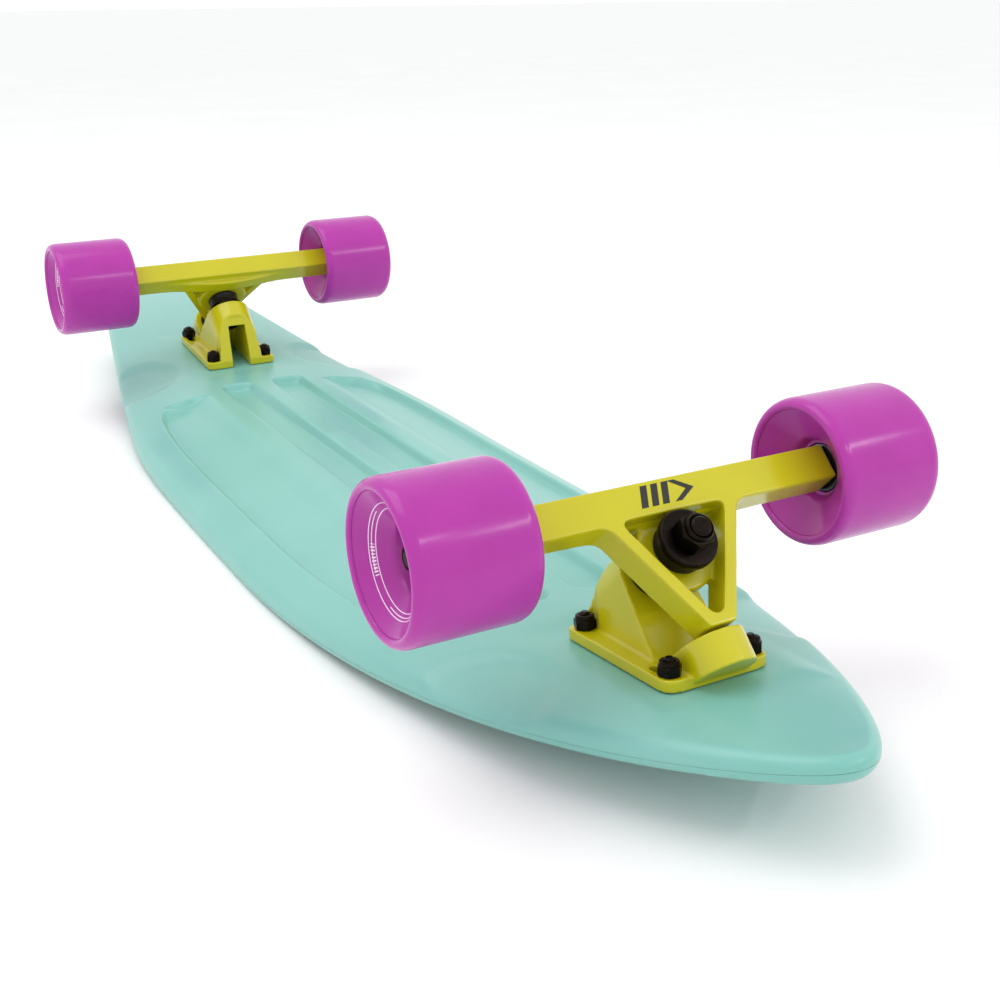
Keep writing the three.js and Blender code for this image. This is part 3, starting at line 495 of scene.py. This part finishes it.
# Distance from each point to the outline, taken to the nearest of many short straight pieces.
def edgeDistance(x, y):
    t = np.linspace(0, np.pi, 900)
    outline = -(deck["tailX"] - deck["noseX"]) / 2 - (deck["tailX"] + deck["noseX"]) / 2 * np.cos(t)
    edge = np.stack([outline, halfWidth(outline)], -1)
    a, b = edge[:-1], edge[1:]
    step = b - a
    length = np.maximum((step ** 2).sum(-1), 1e-12)
    points = np.stack([x.ravel(), np.abs(y).ravel()], -1)
    least = np.full(len(points), np.inf)
    near = np.where(halfWidth(points[:, 0]) - points[:, 1] < 40)[0]
    for chunk in np.array_split(near, max(len(near) // 2000, 1)):
        offset = points[chunk][:, None] - a[None]
        u = np.clip((offset * step).sum(-1) / length, 0, 1)
        least[chunk] = np.linalg.norm(offset - u[..., None] * step, axis=-1).min(-1)
    return least.reshape(x.shape)


# A small moulded mark on the centre rib: a low round-ended pad.
def ribPad(x, y):
    d = deck
    alongX = np.maximum(np.abs(x - d["markX"]) - d["markHalfX"], 0)
    alongY = np.maximum(np.abs(y) - d["markHalfY"], 0)
    return d["markHeight"] * smooth((d["markRadius"] - np.hypot(alongX, alongY)) / d["markEdge"])


# Rows of points across the deck, sharing the rim: the underside's, or the riding side's, is the rim's height
# plus or less half the thickness, plus the dish, less the recesses, and level with the pads under the trucks.
def deckSurface(stations, inner, insets, under):
    width = halfWidth(stations)[:, None]
    squeeze = np.minimum(width / (deck["width"] / 2 - 12), 1)
    outer = width - insets[None] * squeeze
    half = inner[None] * np.minimum(0.96 * outer[:, :1] / inner[-1], 1)
    side = np.concatenate([half, outer], 1)
    y = np.concatenate([-side[:, ::-1], np.zeros_like(width), side], 1)
    x = np.broadcast_to(stations[:, None], y.shape)
    inset = np.minimum(edgeDistance(x, y) / deck["rimRadius"], 1)
    halfThick = deck["rimRadius"] * np.sqrt(np.maximum(1 - (1 - inset) ** 2, 0))
    if not under:
        return np.stack([x, y, rimHeight(x) - halfThick + dish(x, y)], -1)
    well = wellDepth(x, y) * halfThick / deck["rimRadius"]
    sheet = rimHeight(x) + halfThick + dish(x, y) - fieldDepth(x, y) - well + ribPad(x, y)
    padHeight = centreHeight(deck["truckX"]) + math.tan(math.radians(deck["tilt"])) * (np.abs(x) - deck["truckX"])
    outX = np.abs(np.abs(x) - deck["truckX"]) - deck["padHalfX"]
    outY = np.abs(y) - deck["padHalfY"]
    onPad = smooth(1 - np.maximum(np.maximum(outX, outY), 0) / deck["padEase"])
    return np.stack([x, y, sheet + (padHeight - sheet) * onPad], -1)


# Rows run across, closer at the ends and at the end walls. Columns run along, closer at the walls of the ribs.
deckGrid = {
    "rows": 250, "wallFrom": 200, "wallTo": 224, "wallRows": 21, "rimSteps": 8,
    "inner": [[1, 3, 5], np.linspace(6, 11.2, 8), [14, 17, 21, 25], np.linspace(27.3, 32.7, 8), [35, 38, 41],
              np.linspace(43, 62, 9)],
    "insets": [np.linspace(26, 19, 9), [15, 11, 8]],
    "ridingInner": [10, 20, 30, 40, 50, 60.0], "ridingInsets": [20, 14, 9], "ridingSlope": -0.75,
}


def makeDeck():
    g = deckGrid
    middle = -(deck["tailX"] - deck["noseX"]) / 2
    half = (deck["tailX"] + deck["noseX"]) / 2
    even = middle - half * np.cos(np.linspace(0, np.pi, g["rows"]))
    walls = np.concatenate([sign * np.linspace(g["wallFrom"], g["wallTo"], g["wallRows"]) for sign in (1, -1)])
    stations = np.unique(np.round(np.concatenate([even, walls]), 3))
    stations[0], stations[-1] = -deck["tailX"], deck["noseX"]
    rimAngles = np.linspace(0, np.pi / 2, g["rimSteps"])[:-1]
    rimInsets = deck["rimRadius"] * (1 - np.cos(rimAngles))[::-1]
    upper = deckSurface(stations, np.concatenate(g["inner"]), np.concatenate([*g["insets"], rimInsets]), True)
    ridingInsets = np.concatenate([g["ridingInsets"], rimInsets])
    lower = deckSurface(stations, np.array(g["ridingInner"]), ridingInsets, False)
    rows, columns = upper.shape[:2]
    lowColumns = lower.shape[1]
    points = np.concatenate([upper.reshape(-1, 3), lower.reshape(-1, 3)])
    points[:, 2] = np.maximum(points[:, 2], -boardShift[2])  # nothing under the floor
    faces = np.concatenate([gridQuads(rows, columns), gridQuads(rows, lowColumns)[:, ::-1] + rows * columns])
    piece = addPiece("deck_shell", points, faces, plastic, "board", ["deck"], "deck", merge=0.02)
    normals = np.empty(len(piece.data.polygons) * 3)
    piece.data.polygons.foreach_get("normal", normals)
    attribute = piece.data.attributes.new("riding", "FLOAT", "FACE")
    riding = normals.reshape(-1, 3)[:, 2] < g["ridingSlope"]
    attribute.data.foreach_set("value", riding.astype(np.float32))


makeDeck()
print("deck made")

# A truck's own sizes, from the middle of its bolts. Its steering line leans by steerAngle from the baseplate.
truck = {
    "tilt": 5.4, "axleX": -2, "axleHeight": 66, "steerAngle": 50, "steerDepth": -6, "kingpinX": 21.0,
    "pivotX": 60, "boltX": 31.75, "boltY": 20.65, "flange": 5.5,
}


# The frames of a baseplate, a hanger and a wheel, each carried on the one before.
def truckMatrix(ahead):
    foot = float(centreHeight(np.array(deck["truckX"]))) + gap
    return shift(deck["truckX"] * ahead, 0, foot) @ turnZ(0 if ahead > 0 else 180) @ turnY(-truck["tilt"])


def steeringMatrix(ahead):
    return truckMatrix(ahead) @ shift(truck["axleX"], 0, truck["axleHeight"]) @ turnY(truck["steerAngle"])


def hubMatrix(ahead, outward):
    return steeringMatrix(ahead) @ turnZ(0 if outward > 0 else 180) @ turnX(-90)


# A CAD node's mesh merged and remeshed as one cast skin in its own frame, then relaxed so that its edges and
# corners are filleted.
def castCopy(name, node, matrix, voxel, relax, body):
    mesh = nodes[node].data.copy()
    mesh.name = name
    piece = bpy.data.objects.new(name, mesh)
    bpy.context.scene.collection.objects.link(piece)
    local = np.array(Matrix(np.linalg.inv(matrix).tolist()))
    points = np.empty(len(mesh.vertices) * 3)
    mesh.vertices.foreach_get("co", points)
    points = placed(points.reshape(-1, 3) * 1000 - boardShift, local)
    mesh.vertices.foreach_set("co", points.ravel())
    mesh.update()
    finishMesh(mesh, 0.01, 180)
    remesh = piece.modifiers.new("skin", "REMESH")
    remesh.mode = "VOXEL"
    remesh.voxel_size = voxel
    settle = piece.modifiers.new("fillet", "SMOOTH")
    settle.factor = 0.5
    settle.iterations = relax
    bpy.context.view_layer.update()
    evaluated = piece.evaluated_get(bpy.context.evaluated_depsgraph_get())
    skin = bpy.data.meshes.new_from_object(evaluated)
    piece.modifiers.clear()
    points = np.empty(len(skin.vertices) * 3)
    skin.vertices.foreach_get("co", points)
    points = (placed(points.reshape(-1, 3), matrix) + boardShift) / 1000
    skin.vertices.foreach_set("co", points.ravel())
    skin.name = name
    skin.materials.clear()
    skin.materials.append(paint)
    skin.polygons.foreach_set("use_smooth", np.ones(len(skin.polygons), dtype=bool))
    skin.update()
    piece.data = skin
    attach(piece, body)
    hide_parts(node)


hardware = {
    "kingpinRadius": 4.75, "bushingRadius": 12, "bushingWaist": 10.4, "boardBushing": 10.6, "roadBushing": 9.6,
    "washerPlate": 1.8, "washerLip": 2.2, "seatThickness": 9, "tunnelWall": 8,
    "axleRadius": 3.97, "bearingRadius": 11, "bearingWidth": 7, "spacerLength": 7.4, "hangerHalf": 88.5,
    "shoulder": 0.5, "nutHeight": 4, "nutCollar": 1.4, "axleProud": 0.3,
    "boltRadius": 2.4, "boltPitch": 0.8, "boltThread": 0.25, "boltThreadLength": 9, "boltProud": 1.2,
    "kingpinPitch": 1.4, "kingpinThread": 0.4, "kingpinProud": 1.2, "axlePitch": 1.06, "axleThread": 0.35,
}

# Each nut or head: width across its flats, height, bore radius, then its collar's radius and height.
hexes = {
    "deckNut": [9.2, 4.4, 2.5, 4.3, 2.1],
    "kingpinHead": [11, 4.6, 0.6, 4.5, 0.4],
    "kingpinNut": [14.3, 7.6, hardware["kingpinRadius"] + 0.15, 6.2, 2.2],
    "axleNut": [12.7, hardware["nutHeight"], 4.1, 5.4, hardware["nutCollar"]],
}

# A deck bolt's countersunk head and its socket, as radius and height from the riding face.
socketHead = [[0, 1.0], [1.2, 1.0], [1.9, 0.6], [2.1, -0.1], [4.2, -0.1], [4.6, 0.3], [2.4, 2.6]]

# A pivot cup's section, as radius, height and rounding.
pivotCup = [[0, 11.7], [9, 11.7, 0.6], [9, 0.3, 0.5], [6.8, 0.3, 0.5], [6.8, 10.6, 0.6], [0, 10.6]]


# Hexagon nut: six flats whose corners are cut by a cone at each end, with a bore and a round collar above.
def hexNut(across, height, bore, collarRadius, collarHeight):
    count = 96
    angles = np.arange(count) * 2 * np.pi / count
    flat = across / 2 / np.cos((angles + np.pi / 6) % (np.pi / 3) - np.pi / 6)
    crown = across / 2 * 0.97
    rows = []
    for h in (0, 0.12, 0.3, 0.7, 1.1):
        rows.append((np.minimum(flat, crown + h / 0.55), h))
    for h in (1.1, 0.7, 0.3, 0.12, 0):
        rows.append((np.minimum(flat, crown + h / 0.55), height - h))
    ring = lambda radius, z: (np.full(count, radius), z)
    top = height + collarHeight
    rows += [ring(collarRadius, height), ring(collarRadius, top - 0.8)]
    rows += [ring(collarRadius - 0.25, top - 0.3), ring(collarRadius - 0.9, top)]
    rows += [ring(bore + 0.5, top), ring(bore, top - 0.5), ring(bore, 0.5), ring(bore + 0.5, 0), rows[0]]
    radii = np.array([r for r, z in rows])
    heights = np.array([z for r, z in rows])[:, None] * np.ones((1, count))
    points = np.stack([radii * np.cos(angles), radii * np.sin(angles), heights], -1)
    return points.reshape(-1, 3), gridQuads(len(rows), count, wrap=True)


# Threaded rod end to end: the radius swings by the thread's depth once each pitch.
def rodProfile(radius, low, high, pitch, depth, threadFrom, chamfer=0.7):
    heights = np.arange(threadFrom, high - chamfer, pitch / 4)
    thread = radius - depth * (0.5 - 0.5 * np.cos(2 * np.pi * (heights - threadFrom) / pitch))
    body = [[0, low], [radius - chamfer, low], [radius, low + chamfer], [radius, threadFrom - 0.01]]
    end = [[radius - depth, high - chamfer], [radius - chamfer - depth, high], [0, high]]
    return np.array(body + np.stack([thread, heights], -1).tolist() + end)


def makeTruck(end, ahead):
    h = hardware
    inTruck = truckMatrix(ahead)
    inSteering = steeringMatrix(ahead)
    body = f"{end}_truck"
    castCopy(f"{end}_baseplate_casting", f"{end}_baseplate", inTruck, 0.6, 5, "board")
    castCopy(f"{end}_hanger_casting", f"{end}_hanger", inSteering, 0.7, 4, body)

    # Deck bolts and lock nuts
    nuts, bolts, nutNames, boltNames = [], [], [], []
    for bx in (1, -1):
        for by in (1, -1):
            x, y = bx * truck["boltX"], by * truck["boltY"]
            place = f"{end}_{'outer' if bx > 0 else 'inner'}_{'left' if by * ahead > 0 else 'right'}"
            points, faces = hexNut(*hexes["deckNut"])
            spin = turnZ(17 * bx + 31 * by)
            nuts.append((placed(placed(points, spin), inTruck @ shift(x, y, truck["flange"] + gap)), faces))
            nutNames.append(f"{place}_lock_nut")
            above = placed(np.array([[x, y, 0.0]]), inTruck)[0]
            drop = (ridingHeight(above[0], above[1]) - above[2]) / math.cos(math.radians(truck["tilt"]))
            top = truck["flange"] + gap + hexes["deckNut"][1] + hexes["deckNut"][4] + h["boltProud"]
            head = np.array(socketHead) + [0, drop]
            threadFrom = top - h["boltThreadLength"]
            shank = rodProfile(h["boltRadius"], head[-1, 1], top, h["boltPitch"], h["boltThread"], threadFrom)
            points, faces = lathe(np.vstack([head, shank[3:]]), 32, False)[:2]
            bolts.append((placed(points, inTruck @ shift(x, y, 0)), faces))
            boltNames.append(f"{place}_bolt")
    addPiece(f"{end}_lock_nuts", *together(nuts), oxide, "board", nutNames, "hardware")
    addPiece(f"{end}_bolts", *together(bolts), oxide, "board", boltNames, "hardware")

    # Kingpin stack, from the baseplate out to the nut
    seatFront = truck["steerDepth"] + h["seatThickness"] / 2
    seatBack = truck["steerDepth"] - h["seatThickness"] / 2
    roadTop = seatFront + gap + h["roadBushing"]
    boardFoot = seatBack - gap - h["boardBushing"]
    face = boardFoot - gap - h["washerPlate"] - gap
    nutFoot = roadTop + gap + h["washerPlate"] + gap
    onKingpin = inSteering @ shift(truck["kingpinX"], 0, 0)

    def stack(name, profile, material, holder, replaced, slot):
        points, faces = lathe(profile, 64, True)[:2]
        return addPiece(name, placed(points, onKingpin), faces, material, holder, replaced, slot)

    bore = h["kingpinRadius"] + gap
    for place, low, high in (("board", boardFoot, seatBack - gap), ("road", seatFront + gap, roadTop)):
        middle = (low + high) / 2
        waist = roundedProfile([
            [bore, low], [h["bushingRadius"], low, 1.6], [h["bushingWaist"] + 0.2, middle, 4],
            [h["bushingRadius"], high, 1.6], [bore, high],
        ], True, 6)
        bushing = f"{end}_{place}_bushing"
        piece = stack(f"{bushing}_form", waist, urethane, None, [bushing], "urethane")
        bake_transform(piece)
    for place, foot, sign in (("board", face + gap, 1), ("road", roadTop + gap + h["washerPlate"], -1)):
        inner, outer = h["bushingRadius"] + 0.3, h["bushingRadius"] + 1.3
        lip = h["washerPlate"] + h["washerLip"]
        cup = roundedProfile([
            [bore, 0, 0.3], [outer, 0, 1.6], [outer, lip, 0.45], [inner, lip, 0.45],
            [inner, h["washerPlate"], 0.6], [bore, h["washerPlate"], 0.3],
        ], True, 5)
        cup[:, 1] = foot + sign * cup[:, 1]
        stack(f"{end}_{place}_washer_cup", cup, oxide, "board", [f"{end}_{place}_washer"], "hardware")
    roof = face - h["tunnelWall"] - gap
    kingpinEnd = nutFoot + hexes["kingpinNut"][1] + hexes["kingpinNut"][4] + h["kingpinProud"]
    pin = rodProfile(h["kingpinRadius"], roof - 1, kingpinEnd, h["kingpinPitch"], h["kingpinThread"], nutFoot - 2)
    headPoints, headFaces = hexNut(*hexes["kingpinHead"])
    headPoints = placed(headPoints, shift(0, 0, roof) @ turnX(180))
    points, faces = lathe(pin, 48, False)[:2]
    parts = [(placed(points, onKingpin), faces), (placed(headPoints, onKingpin), headFaces)]
    addPiece(f"{end}_kingpin_bolt", *together(parts), oxide, "board", [f"{end}_kingpin"], "hardware")
    points, faces = hexNut(*hexes["kingpinNut"])
    points = placed(points, onKingpin @ shift(0, 0, nutFoot) @ turnZ(12))
    addPiece(f"{end}_kingpin_lock_nut", points, faces, oxide, "board", [f"{end}_kingpin_nut"], "hardware")

    # Pivot cup
    points, faces = lathe(roundedProfile(pivotCup, False, 4), 48, False)[:2]
    inBoss = inSteering @ shift(truck["pivotX"], 0, truck["steerDepth"]) @ turnY(90)
    points = placed(points, inBoss)
    addPiece(f"{end}_pivot_cup_liner", points, faces, urethane, "board", [f"{end}_pivot_cup"], "urethane")

    # Axle with rolled threads at both ends
    innerBearing = h["hangerHalf"] + h["shoulder"] + gap
    outerBearing = innerBearing + h["bearingWidth"] + gap + h["spacerLength"] + gap
    nutY = outerBearing + h["bearingWidth"] + gap
    axleEnd = nutY + h["nutHeight"] + h["nutCollar"] + h["axleProud"]
    half = rodProfile(h["axleRadius"], 0, axleEnd, h["axlePitch"], h["axleThread"], nutY - 3)[3:]
    profile = np.vstack([half[::-1] * [1, -1], half])
    points, faces = lathe(profile, 40, False)[:2]
    points = placed(points, inSteering @ turnX(-90))
    addPiece(f"{end}_axle_rod", points, faces, oxide, body, [f"{end}_axle"], "steel")

    for outward in (1, -1):
        side = "left" if outward * ahead > 0 else "right"
        wheelBody = f"{end}_{side}_wheel"
        inHub = hubMatrix(ahead, outward)
        points, faces = hexNut(*hexes["axleNut"])
        points = placed(points, inHub @ shift(0, 0, nutY) @ turnZ(9))
        nutName = f"{end}_{side}_axle_nut"
        addPiece(f"{end}_{side}_axle_lock_nut", points, faces, oxide, body, [nutName], "hardware")
        makeWheel(f"{end}_{side}", inHub, wheelBody, innerBearing, outerBearing)


# Height of the riding side at a point: the rim's lower edge plus the dish.
def ridingHeight(x, y):
    x, y = np.array([x]), np.array([y])
    return float((rimHeight(x) - deck["rimRadius"] + dish(x, y))[0])


wheel = {
    "radius": 33.75, "width": 55, "recess": 15, "lipAcross": 3.2, "lipAlong": 5.5, "hollow": 28.5, "edge": 1.8,
    "step": 14.5, "stepShare": 0.74, "floor": 12.7, "coreLip": 2.4,
}

bearing = {
    "bore": 4.27, "shieldInner": 6.2, "shieldOuter": 9.3, "radius": 11, "width": 7, "shieldDepth": 0.5,
    "edge": 0.3, "outerEdge": 0.5, "spacerRadius": 5.87, "spacerEdge": 0.2,
}


# A bearing's section: two races, with a shield set in between them on both faces.
def bearingProfile():
    b = bearing
    face = [
        [b["bore"], 0, b["edge"]], [b["shieldInner"], 0, b["edge"]], [b["shieldInner"], b["shieldDepth"]],
        [b["shieldOuter"], b["shieldDepth"]], [b["shieldOuter"], 0, b["edge"]], [b["radius"], 0, b["outerEdge"]],
    ]
    back = [[radius, b["width"] - height, *edge] for radius, height, *edge in face[::-1]]
    return roundedProfile(face + back, True, 3)


# A wheel's section: a deep cone and a step on each face, rounded lips, and a seat for each bearing.
def makeWheel(name, inHub, body, innerBearing, outerBearing):
    w, h = wheel, hardware
    inner = innerBearing - w["recess"]
    seat = h["bearingRadius"] + gap
    innerStep = innerBearing + h["bearingWidth"] + gap - inner
    outerStep = outerBearing - gap - inner
    outerFloor = outerBearing + h["bearingWidth"] - inner
    depth = w["width"] - outerFloor
    turn = np.linspace(0, np.pi / 2, 10)
    crest = w["radius"] - w["lipAcross"]
    outside = np.stack([crest + w["lipAcross"] * np.cos(turn), w["width"] - w["lipAlong"] * (1 - np.sin(turn))], -1)
    inside = np.stack([crest - (crest - w["hollow"]) * np.sin(turn[1:]),
                       w["width"] - w["edge"] * (1 - np.cos(turn[1:]))], -1)
    bead = np.concatenate([outside, inside])
    corners = [
        [seat, w["recess"], 0.4], [w["floor"], w["recess"], 0.6],
        [w["step"], w["recess"] * w["stepShare"], 1.5],
        *[[x, w["width"] - z] for x, z in bead[::-1]], *bead.tolist(),
        [w["step"], w["width"] - depth * w["stepShare"], 1.5],
        [w["floor"], outerFloor, 0.6], [seat, outerFloor, 0.4],
        [seat, outerStep], [seat - w["coreLip"], outerStep, 0.3],
        [seat - w["coreLip"], innerStep, 0.3], [seat, innerStep],
    ]
    profile = roundedProfile(corners, True, 5)
    points, faces, uv = lathe(profile, 128, True)
    corner = points[faces]
    reach = np.hypot(corner[..., 0], corner[..., 1])
    onCone = (corner[..., 2].min(1) > w["width"] / 2) & (reach.max(1) < w["hollow"] + 0.1)
    uv[:, 1] = np.where(onCone[:, None], reach, 0).ravel() / 100
    points = placed(points, inHub @ shift(0, 0, inner))
    addPiece(f"{name}_tyre", points, faces, purple, body, [f"{name}_wheel"], "wheel", uv=uv)

    # Bearings: bright races either side of a recessed black shield
    b = bearing
    parts, kinds = [], []
    for low in (innerBearing, outerBearing):
        points, faces = lathe(bearingProfile(), 64, True)[:2]
        middle = points[faces].mean(1)
        radius = np.hypot(middle[:, 0], middle[:, 1])
        kinds.append(np.where((radius > b["shieldInner"] + 0.05) & (radius < b["shieldOuter"] - 0.05), 1, 0))
        parts.append((placed(points, inHub @ shift(0, 0, low)), faces))
    long, thick, edge = h["spacerLength"], b["spacerRadius"], b["spacerEdge"]
    spacer = [[b["bore"], 0, edge], [thick, 0, edge], [thick, long, edge], [b["bore"], long, edge]]
    spacer = roundedProfile(spacer, True, 2)
    points, faces = lathe(spacer, 48, True)[:2]
    parts.append((placed(points, inHub @ shift(0, 0, innerBearing + h["bearingWidth"] + gap)), faces))
    kinds.append(np.zeros(len(faces), dtype=int))
    replaced = [f"{name}_inner_bearing", f"{name}_outer_bearing", f"{name}_spacer"]
    addPiece(f"{name}_bearings", *together(parts), [steel, urethane], body, replaced, "steel",
             faceMaterials=np.concatenate(kinds))


for end, ahead in (("front", 1), ("rear", -1)):
    makeTruck(end, ahead)
    print(end, "truck made")

# Printed mark on each hanger's face: a row of slanted bars and an arrowhead.
mark = {
    "low": -6.2, "high": 3.6, "start": -14, "lean": 3.2, "barWidth": 3.3, "pitch": 5.3, "bars": 3,
    "arrowGap": 1.0, "arrowWidth": 3.4, "tipInner": 7.4, "tipOuter": 11.5,
    "face": 7.75, "sunk": 0.05, "thickness": 0.12,
}


def makeMark(end, ahead):
    m = mark
    outlines = []
    for i in range(m["bars"]):
        y = m["start"] + i * m["pitch"]
        far = y + m["barWidth"]
        outlines.append([[m["high"], y], [m["high"], far], [m["low"], far + m["lean"]], [m["low"], y + m["lean"]]])
    y = m["start"] + m["bars"] * m["pitch"] + m["arrowGap"]
    mid = (m["low"] + m["high"]) / 2
    tail, tipIn, tipOut = y + m["arrowWidth"], y + m["tipInner"], y + m["tipOuter"]
    outlines.append([[m["high"], y], [m["high"], tail], [mid, tipOut], [mid, tipIn]])
    outlines.append([[mid, tipIn], [mid, tipOut], [m["low"], tail], [m["low"], y]])
    parts = []
    for outline in outlines:
        flat = np.array(outline)
        low = np.column_stack([flat, np.full(4, m["face"] - m["sunk"])])
        high = np.column_stack([flat, np.full(4, m["face"] + m["thickness"])])
        sides = np.array([[i, (i + 1) % 4, 4 + (i + 1) % 4, 4 + i] for i in range(4)])
        faces = np.concatenate([[[3, 2, 1, 0], [4, 5, 6, 7]], sides])
        parts.append((placed(np.concatenate([low, high]), steeringMatrix(ahead)), faces))
    addPiece(f"{end}_printed_mark", *together(parts), inkBlack, f"{end}_truck", (), "hardware", merge=0)


for end, ahead in (("front", 1), ("rear", -1)):
    makeMark(end, ahead)
print("marks made")

stage = {
    "floor": "#F7F8F8", "grain": "#F1F2F2", "grainScale": 4, "size": 80, "world": "#FFFFFF", "worldStrength": 1.04,
}


# Matt painted studio floor: plain, with a barely visible grain.
def studioFloor():
    tree, shader, material = newMaterial("matt studio paint, pale")
    place = addNode(tree, "ShaderNodeTexCoord").outputs["Object"]
    grain = addNode(tree, "ShaderNodeTexNoise", {"Vector": place, "Scale": stage["grainScale"], "Detail": 2})
    mix = addNode(tree, "ShaderNodeMix", {"Factor": grain.outputs["Fac"]}, data_type="RGBA")
    mix.inputs[6].default_value = colour(stage["floor"])
    mix.inputs[7].default_value = colour(stage["grain"])
    tree.links.new(mix.outputs[2], shader.inputs["Base Color"])
    setSockets(shader, {"Roughness": 0.9})
    return material


def makeStage():
    half = stage["size"] / 2
    mesh = bpy.data.meshes.new("floor")
    mesh.from_pydata([(-half, -half, 0), (half, -half, 0), (half, half, 0), (-half, half, 0)], [], [(0, 1, 2, 3)])
    mesh.materials.append(studioFloor())
    floor = bpy.data.objects.new("floor", mesh)
    bpy.context.scene.collection.objects.link(floor)

    world = bpy.data.worlds.new("studio")
    bpy.context.scene.world = world
    world.use_nodes = True
    background = world.node_tree.nodes["Background"]
    background.inputs["Color"].default_value = colour(stage["world"])
    background.inputs["Strength"].default_value = stage["worldStrength"]


# A soft light panel at a place, turned towards a target, both in metres.
def addPanel(name, place, target, width, height, power):
    light = bpy.data.lights.new(name, "AREA")
    light.shape = "RECTANGLE"
    light.size = width
    light.size_y = height
    light.energy = power
    panel = bpy.data.objects.new(name, light)
    bpy.context.scene.collection.objects.link(panel)
    away = Matrix.Translation(place).translation - Matrix.Translation(target).translation
    panel.matrix_world = Matrix.Translation(place) @ away.to_track_quat("Z", "Y").to_matrix().to_4x4()


# The camera's place in mm, its focal length and middle in thousandths of the frame, and its turn in radians
# past the plain azimuth and elevation.
view = {
    "place": [761.09, -313.39, 304.54], "focal": 1347.22, "centre": [499.87, 439.84],
    "azimuth": 65, "elevation": 25, "turn": [-0.1175, -0.0604, -0.0347],
}


def makeCamera():
    a, e = math.radians(view["azimuth"]), math.radians(view["elevation"])
    back = np.array([math.sin(a) * math.cos(e), -math.cos(a) * math.cos(e), math.sin(e)])
    right = np.cross(-back, [0, 0, 1])
    right /= np.linalg.norm(right)
    base = np.stack([right, -np.cross(right, -back), -back])
    angle = np.linalg.norm(view["turn"])
    axis = np.array(view["turn"]) / angle
    rows = np.array(Matrix.Rotation(angle, 3, axis.tolist())) @ base
    camera = bpy.data.cameras.new("camera")
    camera.sensor_width = 36
    camera.lens = view["focal"] / 1000 * 36
    camera.shift_x = (500 - view["centre"][0]) / 1000
    camera.shift_y = (view["centre"][1] - 500) / 1000
    holder = bpy.data.objects.new("camera", camera)
    bpy.context.scene.collection.objects.link(holder)
    matrix = Matrix.Identity(4)
    for i in range(3):
        matrix[i][0], matrix[i][1], matrix[i][2] = rows[0][i], -rows[1][i], -rows[2][i]
        matrix[i][3] = view["place"][i] / 1000
    holder.matrix_world = matrix
    bpy.context.scene.camera = holder


makeStage()
addPanel("overhead softbox", (-0.3, -0.6, 1.9), (0, 0, 0.05), 1.5, 1.5, 12)
addPanel("short strip over the camera", (1.67, 0.42, 1.34), (0.2, 0, 0.1), 0.3, 0.06, 1.4)
addPanel("long strip over the camera", (1.67, 1.22, 1.34), (0.2, 0, 0.1), 0.9, 0.06, 4.2)
makeCamera()
bpy.context.scene.view_settings.view_transform = "Standard"
print("stage made")
